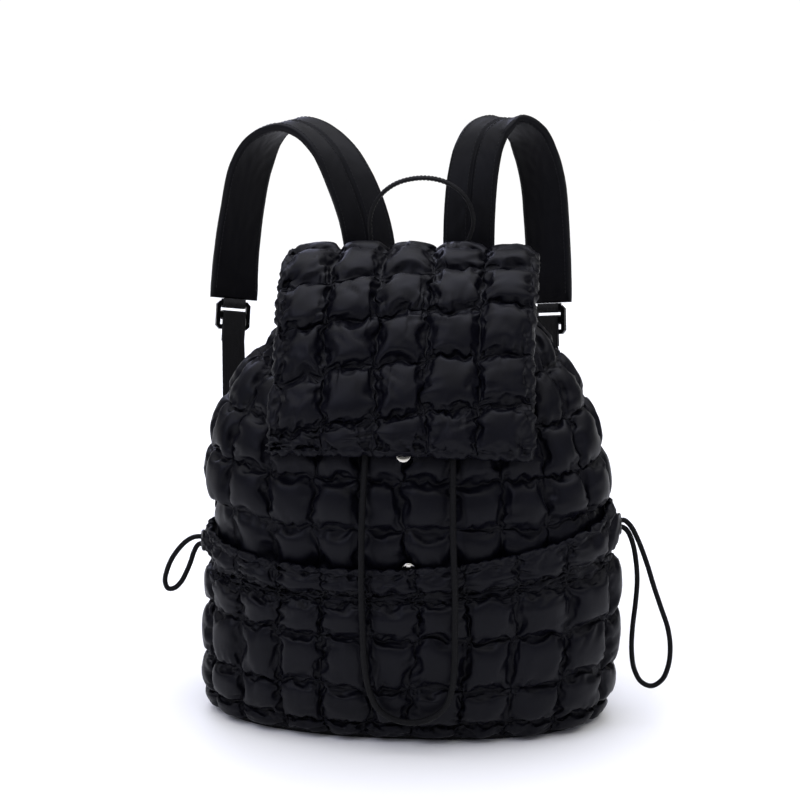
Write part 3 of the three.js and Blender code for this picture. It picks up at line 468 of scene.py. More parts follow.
def doubled(points: Array, axis: int, wrap: bool) -> Array:
    """Puts a smooth new line of points between each two lines of a grid.

    Args:
        points: Rows by columns by a number of values.
        axis: 0 for new rows and 1 for new columns.
        wrap: Whether the last line joins the first.

    Returns:
        The finer grid.
    """
    lines = np.moveaxis(points, axis, 0)
    if wrap:
        before, after, beyond = np.roll(lines, 1, 0), np.roll(lines, -1, 0), np.roll(lines, -2, 0)
    else:
        ends = np.concatenate([2 * lines[:1] - lines[1:2], lines, 2 * lines[-1:] - lines[-2:-1]])
        before, lines, after, beyond = ends[:-3], ends[1:-2], ends[2:-1], ends[3:]
    middle = (9 * (lines + after) - before - beyond) / 16
    finer = np.empty((2 * len(lines), *lines.shape[1:]))
    finer[0::2] = lines
    finer[1::2] = middle
    if not wrap:
        finer = np.concatenate([finer, after[-1:]])
    return np.moveaxis(finer, 0, axis)


def smooth_noise(places: Array, seed: int) -> Array:
    """Gives smooth random values that are the same each run.

    Args:
        places: Points in units of one wave, along the last axis.
        seed: Which of the patterns.

    Returns:
        Values from -1 to 1, one for each point.
    """
    primes = (73856093, 19349663, 83492791)
    base = np.floor(places).astype(np.int64)
    part = places - base
    part = part * part * (3 - 2 * part)
    total = np.zeros(places.shape[:-1])
    for corner in itertools.product((0, 1), repeat=3):
        cell = base + np.array(corner)
        one, two, three = (cell[..., k] * prime for k, prime in enumerate(primes))
        mixed = one ^ two ^ three ^ (seed + 1) * 40503
        mixed = (mixed ^ (mixed >> 13)) * 1274126177 & 0x7FFFFFFF
        value = ((mixed ^ (mixed >> 16)) & 0xFFFF) / 32767.5 - 1
        total += value * np.prod(np.where(np.array(corner), part, 1 - part), axis=-1)
    return total


class Table:
    """Rows of listed shares, read smoothly between its rows."""

    def __init__(self, names: str, *rows: tuple[float, ...]) -> None:
        """Keeps the rows under the columns' names, which have spaces between them."""
        self.columns = dict(zip(names.split(), np.array(rows, dtype=float).T))

    def smooth(self, key: str, name: str, place: Array) -> Array:
        """Reads one column at places along another, by a cubic whose slope at a row is its neighbours'.

        Args:
            key: The column that the places are on, rising.
            name: The column that is read.
            place: Where to read it.

        Returns:
            The values there.
        """
        keys, values = self.columns[key], self.columns[name]
        at = np.clip(place, keys[0], keys[-1])
        i = np.clip(np.searchsorted(keys, at, side="left") - 1, 0, len(keys) - 2)
        before = np.maximum(np.arange(len(keys)) - 1, 0)
        after = np.minimum(np.arange(len(keys)) + 1, len(keys) - 1)
        slope = (values[after] - values[before]) / (keys[after] - keys[before])
        span = keys[i + 1] - keys[i]
        t = (at - keys[i]) / span
        rise = t * t * (3 - 2 * t)
        bend = slope[i] * t * (1 - t) ** 2 - slope[i + 1] * t * t * (1 - t)
        return values[i] * (1 - rise) + values[i + 1] * rise + span * bend

    def row(self, name: str, row: Array) -> Array:
        """Reads one column at a row number, which may be between two rows."""
        values = self.columns[name]
        return np.interp(row, np.arange(len(values)), values)


class SmoothPath:
    """A smooth line through points, with equal shares of its parameter for each two of them."""

    def __init__(self, points: Array) -> None:
        """Keeps the points, with one more beyond each end."""
        self.points = np.array([2 * points[0] - points[1], *points, 2 * points[-1] - points[-2]])

    def at(self, shares: Array) -> Array:
        """Finds points along the line.

        Args:
            shares: Where, from 0 to 1.

        Returns:
            The points, one a row.
        """
        spans = len(self.points) - 3
        place = np.clip(shares, 0, 1) * spans
        i = np.minimum(np.floor(place).astype(int), spans - 1)
        t = (place - i)[:, None]
        a, b, c, d = (self.points[i + k] for k in range(4))
        first, middle, last = (
            np.maximum(np.linalg.norm(q - p, axis=1, keepdims=True), 1e-9) ** 0.5
            for p, q in ((a, b), (b, c), (c, d))
        )
        start = ((b - a) / first - (c - a) / (first + middle) + (c - b) / middle) * middle
        end = ((c - b) / middle - (d - b) / (middle + last) + (d - c) / last) * middle
        cubic = 2 * b - 2 * c + start + end
        square = -3 * b + 3 * c - 2 * start - end
        return b + t * (start + t * (square + t * cubic))

    def evenly(self, step: float) -> Array:
        """Finds points at even steps along the line.

        Args:
            step: The wanted distance between them.

        Returns:
            The points, one a row, from end to end.
        """
        fine = self.at(np.linspace(0, 1, 40 * len(self.points)))
        lengths = distances(fine)
        wanted = np.linspace(0, lengths[-1], max(int(round(lengths[-1] / step)), 2) + 1)
        return np.stack([np.interp(wanted, lengths, fine[:, k]) for k in range(3)], 1)


def path_length(points: Array) -> float:
    """Measures a line through points."""
    return float(np.linalg.norm(np.diff(points, axis=0), axis=1).sum())


# The sack's own surface, which the pocket, the snaps and the tabs are placed on


class SackForm:
    """The surface that the sack's seams lie on.

    A place on it is its share of the way round, from the seam in the middle of the front over the right
    side, and its share of the height above the base.
    """

    width = 318 * MM
    depth = 160 * MM
    height = 336 * MM
    floor = 4 * MM + TOUCH_GAP
    front_roundness = 2.3
    back_roundness = 3.0
    column_shift = 6 * MM
    columns = 22
    outline_steps = 160
    sections = Table(
        "height width front back lean",
        (0.0, 0.925, 0.42, 0.39, 0.018),
        (0.042, 0.962, 0.45, 0.422, 0.014),
        (0.122, 0.965, 0.472, 0.45, 0.008),
        (0.285, 0.96, 0.478, 0.468, 0.0),
        (0.404, 0.955, 0.49, 0.475, 0.004),
        (0.494, 0.955, 0.522, 0.477, 0.008),
        (0.598, 0.94, 0.498, 0.477, 0.015),
        (0.702, 0.885, 0.425, 0.474, 0.02),
        (0.777, 0.81, 0.35, 0.468, 0.018),
        (0.842, 0.71, 0.268, 0.46, 0.012),
        (0.896, 0.6, 0.19, 0.45, 0.006),
        (0.94, 0.49, 0.1, 0.435, 0.0),
        (0.976, 0.43, 0.03, 0.4, 0.0),
        (1.0, 0.415, 0.0, 0.385, 0.0),
    )

    def points(self, around: Array, up: Array) -> Array:
        """Finds points on the surface.

        Args:
            around: Shares of the way round.
            up: Shares of the height.

        Returns:
            The points, with 3 values along a new last axis.
        """
        around, up = np.broadcast_arrays(around, up)
        flat_up = up.ravel()
        half, front, back, lean = (
            size * self.sections.smooth("height", name, flat_up)[:, None]
            for size, name in (
                (self.width / 2, "width"), (-self.depth, "front"),
                (self.depth, "back"), (-self.width, "lean"),
            )
        )
        angle = 2 * np.pi * np.arange(self.outline_steps + 1) / self.outline_steps
        power = 2 / np.where(np.cos(angle) > 0, self.front_roundness, self.back_roundness)
        sine = np.sign(np.sin(angle)) * np.abs(np.sin(angle)) ** power
        cosine = np.sign(np.cos(angle)) * np.abs(np.cos(angle)) ** power
        x = lean + half * sine
        y = (front + back) / 2 - (back - front) / 2 * cosine
        steps = np.hypot(np.diff(x, axis=1), np.diff(y, axis=1))
        lengths = np.concatenate([np.zeros((len(x), 1)), np.cumsum(steps, axis=1)], axis=1)
        whole = lengths[:, -1]
        target = ((around.ravel() + self.column_shift / whole) % 1.0) * whole
        k = np.clip((lengths < target[:, None]).sum(1), 1, self.outline_steps)
        rows = np.arange(len(x))
        t = (target - lengths[rows, k - 1]) / np.maximum(lengths[rows, k] - lengths[rows, k - 1], 1e-9)
        found = [a[rows, k - 1] * (1 - t) + a[rows, k] * t for a in (x, y)]
        return np.stack([*found, self.floor + flat_up * self.height], 1).reshape(*up.shape, 3)

    def normals(self, around: Array, up: Array) -> Array:
        """Finds the way off the surface.

        Args:
            around: Shares of the way round.
            up: Shares of the height.

        Returns:
            Unit vectors along a new last axis.
        """
        small = 0.004
        across = self.points(around + small, up) - self.points(around - small, up)
        above, below = np.minimum(up + small, 1), np.maximum(up - small, 0)
        upwards = self.points(around, above) - self.points(around, below)
        return unit(np.cross(across, upwards))

    def girth(self, up: float) -> float:
        """Measures once round the surface at a share of its height."""
        around = np.linspace(0, 1, 241)
        return path_length(self.points(around, np.full_like(around, up)))


def frontness(around: Array) -> Array:
    """Says how far a place round the sack is on its front: 1 in the middle, 0 from the sides backwards."""
    return np.maximum(0, np.cos(2 * np.pi * around))


# Quilting


@dataclass(frozen=True)
class PuffSimulation:
    """Cloth, a little larger than the cells it is sewn into, blown up between its seams.

    Attributes:
        pressure: How hard the wadding pushes.
        fullness: How much longer the cloth is than its cell.
        frames: How many steps it is given.
        quality: How finely each step is worked out.
        mass: How heavy each point of the cloth is, in kilograms.
        stretch: How hard the cloth is to stretch.
        shear: How hard it is to pull askew.
        bending: How hard it is to bend.
        cap: How far a point may move off its start.
    """

    pressure: float = 8.0
    fullness: float = 0.05
    frames: int = 18
    quality: int = 5
    mass: float = 0.15
    stretch: float = 12
    shear: float = 6
    bending: float = 0.3
    cap: float = 5 * MM

    def run(self, points: Array, fixed: Array, wrap: bool) -> Array:
        """Simulates one sheet.

        Args:
            points: The sheet's grid at the start, rows by columns by 3.
            fixed: Which points are sewn down, rows by columns.
            wrap: Whether the last column joins the first.

        Returns:
            The grid after the last step.
        """
        maker = MeshMaker()
        columns = points.shape[1] + (1 if wrap else 0)
        maker.grid(points, np.zeros((len(points), columns, 2)), wrap)
        cloth = maker.finish("cloth_at_work", LINING_NYLON)
        pins = cloth.vertex_groups.new(name="sewn")
        pins.add(np.flatnonzero(fixed.ravel()).tolist(), 1.0, "REPLACE")
        modifier = cloth.modifiers.new("cloth", "CLOTH")
        settings = modifier.settings
        settings.vertex_group_mass = "sewn"
        settings.quality = self.quality
        settings.mass = self.mass
        settings.tension_stiffness = settings.compression_stiffness = self.stretch
        settings.shear_stiffness = self.shear
        settings.bending_stiffness = self.bending
        settings.shrink_min = -self.fullness
        settings.use_pressure = True
        settings.uniform_pressure_force = self.pressure
        settings.effector_weights.gravity = 0
        modifier.collision_settings.use_collision = False
        scene = bpy.context.scene
        for step in range(1, self.frames + 1):
            scene.frame_set(step)
            cloth.evaluated_get(bpy.context.evaluated_depsgraph_get())
        final = cloth.evaluated_get(bpy.context.evaluated_depsgraph_get()).data
        moved = np.empty(3 * len(final.vertices))
        final.vertices.foreach_get("co", moved)
        bpy.data.objects.remove(cloth)
        scene.frame_set(1)
        way = moved.reshape(points.shape) - points
        length = np.linalg.norm(way, axis=-1, keepdims=True)
        return points + way * np.minimum(1, self.cap / np.maximum(length, 1e-9))


@dataclass
class QuiltedSheet:
    """A padded sheet sewn into cells, closed at its edges by its lining.

    Attributes:
        name: The piece's name, and its CAD node's.
        cell: The size of a cell, across and up, for the cloth's own coordinates.
        puff: How high a cell rises off its seams.
        wall: How far the seams lie off the lining.
        rows: How many rows of cells.
        columns: How many columns of cells.
        wrap: Whether the last column joins the first.
        lines: How many lines of points a cell gets each way before they are doubled.
        pucker: How deep the gathers along the seams are.
        crowding: How much closer the lines of points lie at the seams: 0 for evenly, under 1.
        pinch: The scale of the distance between them.
        reach: How far off the seam they are deepest.
        zigzag: How far the seams swing to either side.
        swing: The scale of the distance between those swings.
        roll: How far the cloth rolls out at the sheet's edges.
        edges: How full the cells stay at the edge of the first row, the last row, the first column and the
            last column.
        facing: 1 where the columns' way crossed with the rows' way points outwards, otherwise -1.
        simulation: How the cloth is blown up.
        seams: The built outer face: its points, their row numbers and their column numbers.
    """

    name: str
    cell: tuple[float, float]
    puff: float
    wall: float
    rows: int
    columns: int
    wrap: bool = False
    lines: int = 10
    pucker: float = 2.8 * MM
    crowding: float = 0.6
    pinch: float = 6.2 * MM
    reach: float = 2.9 * MM
    zigzag: float = 1.7 * MM
    swing: float = 4.2 * MM
    roll: float = 3.5 * MM
    edges: tuple[float, float, float, float] = (0, 0, 0, 0)
    facing: int = 1
    simulation: PuffSimulation = field(default_factory=PuffSimulation)
    seams: tuple[Array, Array, Array] | None = field(default=None, init=False)

    def place(self, row: Array, column: Array, height: Array) -> Array:
        """Finds points of the sheet at a height off its lining."""
        raise NotImplementedError

    def fill(self, row: Array, column: Array) -> Array:
        """Says how full the cell at a place is, from 0 for flat to 1."""
        raise NotImplementedError

    def puffed(self, row: Array, column: Array) -> Array:
        """Says where the cloth is puffed and not sewn down flat."""
        return self.fill(row, column) > 0.02

    def gather(self, row: Array, column: Array) -> Array:
        """Says how strongly the cloth is gathered at a place; 1 is the quilting's own gathers."""
        return np.ones_like(row)

    def wander(self, row: Array, column: Array) -> tuple[Array, Array]:
        """Lets the seams wander off their even spacing, as sewn ones do.

        Args:
            row: Row numbers, with fractions inside the cells.
            column: Column numbers, likewise.

        Returns:
            The row and column numbers to use instead.
        """
        most = 0.09
        ends = np.sin(np.pi * row / self.rows)
        sides = 1.0 if self.wrap else np.sin(np.pi * column / self.columns)
        turn = 2 * np.pi * column / self.columns
        places = np.stack([1.4 * row, 2.5 * np.cos(turn), 2.5 * np.sin(turn)], -1)
        up = most * smooth_noise(places, 3) * ends
        across = most * smooth_noise(places * np.array([1.0, 1.6, 1.6]), 4) * sides
        return np.clip(row + up, 0, self.rows), column + across

    @staticmethod
    def crown(share: Array) -> Array:
        """Gives the rise across one cell, steep at the seams and round in the middle."""
        inside = share - np.floor(share)
        return (1 - np.abs(2 * inside - 1) ** 2.8) ** 0.55

    def relief(self, row: Array, column: Array) -> Array:
        """Gives the rise of the cells, from 0 at their seams to 1, and more at the sheet's fuller edges."""
        rises = []
        ways = ((row, self.rows, self.edges[:2]), (column, self.columns, self.edges[2:]))
        for place, count, (first, last) in ways:
            least = np.where(place < 0.5, first, np.where(place > count - 0.5, last, 0))
            rises.append(least + (1 - least) * self.crown(place))
        return rises[0] * rises[1]

    def grid(self, lines: int) -> tuple[Array, Array]:
        """Gives the row and column numbers of a grid with so many lines to a cell, closest at the seams."""
        counts = (self.rows * lines + 1, self.columns * lines + (0 if self.wrap else 1))
        even = [np.arange(count) / lines for count in counts]
        crowded = [np.round(t - self.crowding * np.sin(2 * np.pi * t) / (2 * np.pi), 9) for t in even]
        return tuple(np.meshgrid(*crowded, indexing="ij"))

    def surface(self) -> tuple[Array, Array, Array]:
        """Makes the quilted outer face.

        Returns:
            Its points, rows by columns by 3, and its row and column numbers.
        """
        row, column = self.grid(self.lines)
        rise = self.puff * self.fill(row, column) * self.relief(row, column)
        points = self.place(*self.wander(row, column), self.wall + rise)
        on_seam = (row % 1 == 0) | (column % 1 == 0) | ~self.puffed(row, column)
        points = self.simulation.run(points, on_seam, self.wrap)
        points = doubled(doubled(points, 0, False), 1, self.wrap)
        row, column = self.grid(2 * self.lines)
        outwards = self.facing * grid_normals(points, self.wrap)
        points = points + self.puckers(points, row, column)[..., None] * outwards
        return points + self.drift(row, column), row, column

    def drift(self, row: Array, column: Array) -> Array:
        """Finds how far the points move along the sheet: its seams zigzag, and the cells lean in over them.

        Args:
            row: The outer face's row numbers.
            column: Its column numbers.

        Returns:
            Each point's way along the sheet.
        """
        small = 0.1
        margin = 10 * MM
        crossing_reach = 4 * MM
        lean = 1.05 * MM
        lean_reach = 3.8 * MM
        swing_reach = 4.5 * MM
        puffed = self.puffed(row, column)
        steps = ((small, 0), (0, small))
        ways = ((row, column, self.cell, self.rows), (column, row, self.cell[::-1], self.columns))
        wall = np.full_like(row, self.wall)
        total = np.zeros((*row.shape, 3))
        for seed, (number, other, (length, size), count) in enumerate(ways):
            seam = np.round(number)
            away = (number - seam) * size
            edge = 7.3 * (seam % count)
            places = np.stack([other * length / self.swing, edge, 0.5 * edge], -1)
            swings = np.clip(1.8 * smooth_noise(places, 20 + seed), -1, 1)
            crossing = np.minimum(1, np.abs(other - np.round(other)) * length / crossing_reach)
            shift = self.zigzag * swings * crossing * np.exp(-((away / swing_reach) ** 2))
            shift -= lean * puffed * away / lean_reach * np.exp(1 - np.abs(away) / lean_reach)
            if not (self.wrap and seed == 1):
                shift *= np.minimum(1, np.minimum(number, count - number) * size / margin)
            up, across = steps[seed]
            ahead = self.place(np.minimum(row + up, self.rows), column + across, wall)
            behind = self.place(np.maximum(row - up, 0), column - across, wall)
            total += shift[..., None] * unit(ahead - behind)
        return total

    def puckers(self, points: Array, row: Array, column: Array) -> Array:
        """Finds the gathers that run off the seams.

        Args:
            points: The outer face.
            row: Its row numbers.
            column: Its column numbers.

        Returns:
            How far each point moves outwards.
        """
        stitch_pitch = 25 * MM
        crossing_reach = 4 * MM
        crease_pitch = 15 * MM
        crease_depth = 0.35 * MM
        total = np.zeros_like(row)
        strength = self.gather(row, column)
        ways = ((row, column, self.cell[1], self.cell[0]), (column, row, self.cell[0], self.cell[1]))
        for seed, (number, other, size, length) in enumerate(ways):
            seam = np.round(number)
            away = np.abs(number - seam) * size
            # Sharp valleys run off the stitches, a few millimetres apart and leaning by turns
            edge = 7.3 * seam + 3.1 * np.sign(number - seam)
            lean = smooth_noise(np.stack([other * length / stitch_pitch, edge, edge], -1), 12 + seed)
            places = np.stack([(other * length + 0.8 * lean * away) / self.pinch, edge, 0.5 * edge], -1)
            valley = np.maximum(0, 1 - 1.9 * np.abs(smooth_noise(places, 5 + seed))) ** 1.4
            slow = places * np.array([0.3, 1.0, 1.0])
            reach = self.reach * (0.5 + 0.5 * strength) * (1 + 0.55 * smooth_noise(slow, 6 + seed))
            shape = away / reach * np.exp(1 - away / reach)
            crossing = np.minimum(1, np.abs(other - np.round(other)) * length / crossing_reach)
            depth = self.pucker * (1 + 0.5 * smooth_noise(slow, 9 + seed))
            total -= depth * valley * shape * crossing
        creases = smooth_noise(points / crease_pitch, 8)
        soft = crease_depth * creases * self.crown(row) * self.crown(column)
        return (total * strength + soft) * self.puffed(row, column)

    def build(self) -> bpy.types.Object:
        """Makes the sheet with its lining, and lets it ride on the frame.

        Returns:
            The finished piece.
        """
        points, row, column = self.surface()
        maker = MeshMaker()
        cloth = self.cloth(row, column)
        outer = maker.grid(points, cloth, self.wrap)
        inner_row, inner_column = self.grid(4)
        inside = self.place(*self.wander(inner_row, inner_column), self.lining(inner_row, inner_column))
        cloth = self.cloth(inner_row, inner_column)
        inner = maker.grid(inside[:, ::-1], cloth[:, ::-1], self.wrap)[:, ::-1]
        self._close(maker, points, outer, inner)
        piece = maker.finish(f"{self.name}_cloth", QUILTED_NYLON)
        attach(piece, "root")
        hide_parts(self.name)
        self.seams = points, row, column
        return piece

    def cloth(self, row: Array, column: Array) -> Array:
        """Gives the cloth's own coordinates on a grid, in metres."""
        across = np.append(column[0], float(self.columns)) if self.wrap else column[0]
        return cloth_grid(row[:, 0] * self.cell[1], across * self.cell[0])

    def lining(self, row: Array, column: Array) -> Array:
        """Gives the lining's height: it is quilted with the outer cloth, but hardly rises."""
        sag = 1.2 * MM
        return -sag * np.abs(np.sin(np.pi * row) * np.sin(np.pi * column)) * self.puffed(row, column)

    def _close(self, maker: MeshMaker, points: Array, outer: Array, inner: Array) -> None:
        """Rolls every edge of the outer face over and joins it to the lining.

        Args:
            maker: The mesh so far.
            points: The outer face.
            outer: The outer face's numbers.
            inner: The lining's numbers.
        """

        def walk(grid: Array, inset: int) -> Array:
            """Walks all four sides of an open grid, so many lines in from its edge."""
            last = (grid.shape[0] - 1 - inset, grid.shape[1] - 1 - inset)
            rows = np.clip(np.arange(grid.shape[0]), inset, last[0])
            columns = np.clip(np.arange(grid.shape[1]), inset, last[1])
            sides = [
                grid[inset, columns[:-1]], grid[rows[:-1], last[1]],
                grid[last[0], columns[:0:-1]], grid[rows[:0:-1], inset],
            ]
            return np.concatenate(sides)

        if self.wrap:
            ends = [(points[k], points[k + step], outer[k], inner[k]) for k, step in ((0, 1), (-1, -1))]
        else:
            ends = [(walk(points, 0), walk(points, 1), walk(outer, 0), walk(inner, 0))]
        for number, (edge, near, edge_numbers, lining) in enumerate(ends):
            known = np.concatenate(maker.points)[lining]
            fine = np.linspace(0, len(known), len(edge), endpoint=False)
            coarse = np.arange(len(known) + 1)
            under = np.stack([np.interp(fine, coarse, closed(known)[:, k]) for k in range(3)], 1)
            outwards = unit(edge - near)
            radius = np.minimum(np.linalg.norm(edge - under, axis=1, keepdims=True) * 0.6, self.roll)
            turns = np.linspace(0, 1, 5)[1:-1, None, None]
            rings = edge + (under - edge) * turns + outwards * radius * np.sin(np.pi * turns)
            cloth = np.concatenate([rings, rings[:, :1]], 1)[..., [0, 2]]
            numbers = maker.grid(rings, cloth, wrap=True, flip=number == 0)
            places = np.arange(len(edge) + 1.0)
            lines = [(closed(ring), places) for ring in (edge_numbers, numbers[0], numbers[-1])]
            lines.append((closed(lining), coarse * len(edge) / len(known)))
            for pair in (lines[:2], lines[2:]):
                first, second = pair if number == 0 else pair[::-1]
                maker.strip(*first, *second)


class SackSheet(QuiltedSheet):
    """The sack's quilted wall."""

    form = SackForm()
    levels = Table(
        "side front puff",
        (0.0, 0.0, 0.75), (0.06, 0.055, 1), (0.15, 0.145, 1), (0.268, 0.26, 1), (0.385, 0.38, 1),
        (0.515, 0.498, 1), (0.63, 0.602, 1), (0.742, 0.705, 0.9), (0.84, 0.795, 0.75), (0.925, 0.9, 0.5),
        (1.0, 1.0, 0),
    )
    covered_rows = 4
    covered_columns = 6
    yoke_row = 8
    yoke_columns = 4.2

    def __init__(self) -> None:
        """Sets the sack's sizes."""
        columns = self.form.columns
        cell = (self.form.girth(0.4) / columns, 37 * MM)
        super().__init__(
            "quilted_sack", cell, 8 * MM, 0.0, rows=10, columns=columns, wrap=True, roll=0.1 * MM
        )

    def place(self, row: Array, column: Array, height: Array) -> Array:
        """Finds points of the sack's wall."""
        around = column / self.columns
        mix = frontness(around)
        up = self.levels.row("side", row) * (1 - mix) + self.levels.row("front", row) * mix
        return self.form.points(around, up) + self.form.normals(around, up) * np.asarray(height)[..., None]

    def fill(self, row: Array, column: Array) -> Array:
        """Says how full the cells are: flat under the pocket, the flap's seam and the straps' roots."""
        cell = np.minimum(np.floor(row), self.rows - 1)
        from_front = np.minimum(column, self.columns - column)
        on_front = from_front < self.covered_columns
        under_pocket = on_front & (cell < self.covered_rows)
        under_yoke = (cell >= self.yoke_row) & (self.columns / 2 - from_front < self.yoke_columns)
        pressed = np.where(on_front & (cell == self.covered_rows), frontness(column / self.columns), 1)
        full = self.levels.columns["puff"][cell.astype(int)] * pressed
        return np.where(under_pocket | under_yoke, 0, full)

    def gather(self, row: Array, column: Array) -> Array:
        """Says that the cloth is gathered more towards the mouth."""
        return 1 + 0.8 * np.clip((row - 6) / 4, 0, 1)

    def lining(self, row: Array, column: Array) -> Array:
        """Gives the lining's depth inside the seams."""
        return -3 * MM + super().lining(row, column)


class PocketSheet(QuiltedSheet):
    """The pouch pocket's quilted front, with the gathered casing along its hem."""

    form = SackForm()
    levels = Table(
        "side front puff slack skew",
        (0.006, 0.006, 0.8, 0, 0), (0.047, 0.042, 1, 0.2, 0), (0.138, 0.132, 1, 0.65, 0),
        (0.264, 0.252, 0.9, 1, 0.1), (0.37, 0.341, 0.25, 1, 0.63), (0.392, 0.362, 0.8, 1, 0.73),
        (0.478, 0.42, 0, 1, 1),
    )
    edge = 0.25
    seat = 1.2 * MM
    slack = 11 * MM
    slack_taper = 0.8
    hem_skew = 22 * MM
    column_shift = 12 * MM

    def __init__(self) -> None:
        """Sets the pocket's sizes."""
        self.half_girth = self.edge * self.form.girth(0.006)
        super().__init__(
            "front_pocket", (37 * MM, 34 * MM), 7.5 * MM, 2.5 * MM, rows=6, columns=11, lines=13,
            edges=(0.2, 0.5, 0, 0),
        )

    def place(self, row: Array, column: Array, height: Array) -> Array:
        """Finds points of the pocket's cloth, off the sack by its slack."""
        even = 2 * column / self.columns - 1
        around = self.edge * (even - self.column_shift / self.half_girth * (1 - even * even))
        mix = frontness(around)
        up = self.levels.row("side", row) * (1 - mix) + self.levels.row("front", row) * mix
        skew = self.levels.row("skew", row) * self.hem_skew / self.form.height / 2
        up = up + skew * np.sin(2 * np.pi * around)
        off = self.seat + self.slack * self.levels.row("slack", row) * mix**self.slack_taper
        return self.form.points(around, up) + self.form.normals(around, up) * (off + height)[..., None]

    def fill(self, row: Array, column: Array) -> Array:
        """Says how full the cells are."""
        return self.levels.columns["puff"][np.minimum(np.floor(row), self.rows - 1).astype(int)]

    def gather(self, row: Array, column: Array) -> Array:
        """Says that the casing is gathered on its cord, most of all towards the sides."""
        left = np.clip(1 - 2.2 * column / self.columns, 0, 1)
        return 1 + np.clip(row - 3.6, 0, 1) * (0.15 + 0.9 * left)


class FlapSheet(QuiltedSheet):
    """The quilted flap, laid from its back seam over the mouth and down the front."""

    middle_x = -3 * MM
    width = 190 * MM
    sack_puff = 8 * MM
    room = 6.5 * MM
    crown_drop = 13 * MM
    crown_power = 2.6
    hem = 27 * MM
    slant = 13 * MM
    slants = np.array([0, 0, 0.3, 1, 1, 1, 1.1, 0])
    creases = (
        ((4.12, 1.35), (4.8, 1.95)), ((4.3, 1.15), (4.62, 1.5)), ((5.1, 2.05), (5.85, 2.65)),
        ((5.08, 2.2), (5.45, 2.62)), ((6.1, 0.35), (6.8, 0.75)), ((3.3, 1.3), (3.62, 1.6)),
    )
    crease_depth = 1.5 * MM
    crease_width = 1.2 * MM
    line = Table(
        "y z width room droop",
        (0.46, 0.9, 0.9, 0, 0.2), (0.457, 0.95, 0.94, 0, 0.15), (0.44, 1.0, 0.98, 0, 0.15),
        (0.37, 1.04, 1.01, 0, 0.15), (0.24, 1.05, 1.02, 0.1, 0.2), (0.09, 1.03, 1.02, 0.3, 0.3),
        (-0.045, 0.985, 1.02, 0.65, 0.45), (-0.15, 0.927, 1.01, 1, 0.65), (-0.24, 0.866, 1.0, 1, 0.85),
        (-0.326, 0.8, 1.01, 1, 1), (-0.402, 0.73, 1.02, 1, 1), (-0.458, 0.66, 1.02, 1, 1),
    )

    def __init__(self) -> None:
        """Sets the flap's sizes and lays out its line."""
        columns = self.line.columns
        flat = np.stack([SackForm.depth * columns["y"], SackForm.floor + SackForm.height * columns["z"]], 1)
        after = np.concatenate([flat[1:], flat[-1:]])
        before = np.concatenate([flat[:1], flat[:-1]])
        along = after - before
        outwards = unit(np.stack([along[:, 1], -along[:, 0]], 1))
        lift = TOUCH_GAP + columns["room"] * (self.sack_puff + self.room - TOUCH_GAP)
        lifted = flat + outwards * lift[:, None]
        lengths = distances(lifted)
        half = self.width * columns["width"] / 2
        rows = np.stack([lengths, *lifted.T, half, self.crown_drop * columns["droop"]], 1)
        self.laid = Table("length y z half droop", *rows)
        self.length = lengths[-1]
        super().__init__(
            "top_flap", (38 * MM, 36 * MM), 8.5 * MM, 3 * MM, rows=7, columns=5, lines=16,
            edges=(0, 0.5, 0.45, 0.45), facing=-1,
        )

    def place(self, row: Array, column: Array, height: Array) -> Array:
        """Finds points of the flap, off its line."""
        across = 2 * column / self.columns - 1
        whole = self.rows - 1
        pitch = (self.length - self.hem) / whole
        along = np.where(row <= whole, row * pitch, whole * pitch + (row - whole) * self.hem)
        along = along - self.slant * across * np.interp(row, np.arange(self.rows + 1), self.slants)
        small = 1 * MM
        y, z, half, droop = (self.laid.smooth("length", name, along) for name in ("y", "z", "half", "droop"))
        rise = [
            self.laid.smooth("length", name, along + small) - self.laid.smooth("length", name, along - small)
            for name in ("y", "z")
        ]
        tangent = unit(np.stack(rise, -1))
        off = height - droop * np.abs(across) ** self.crown_power
        x = self.middle_x + across * half
        return np.stack([x, y + tangent[..., 1] * off, z - tangent[..., 0] * off], -1)

    def puckers(self, points: Array, row: Array, column: Array) -> Array:
        """Finds the gathers along the seams and the long slanting creases of a few cells."""
        total = super().puckers(points, row, column)
        size = np.array([self.cell[1], self.cell[0]])
        place = np.stack([row, column], -1) * size
        for ends in self.creases:
            start, stop = (np.array(end) * size for end in ends)
            share = np.clip(((place - start) @ (stop - start)) / np.sum((stop - start) ** 2), 0, 1)
            away = np.linalg.norm(place - start - share[..., None] * (stop - start), axis=-1)
            total -= self.crease_depth * np.sin(np.pi * share) * np.exp(-((away / self.crease_width) ** 2))
        return total

    def fill(self, row: Array, column: Array) -> Array:
        """Says how full the cells are: flat where the flap is sewn down, and less in its hem."""
        cell = np.minimum(np.floor(row), self.rows - 1)
        return np.where(cell < 1, 0, np.where(cell == self.rows - 1, 0.8, 1.0))

    def gather(self, row: Array, column: Array) -> Array:
        """Says that the hem and the side edges are gathered more."""
        left = np.clip(1 - column / 0.7, 0, 1)
        hem = np.clip(row - (self.rows - 1.2), 0, 1)
        return 1 + hem * np.clip(1.2 - 0.22 * column, 0.2, 1) + 1.1 * left


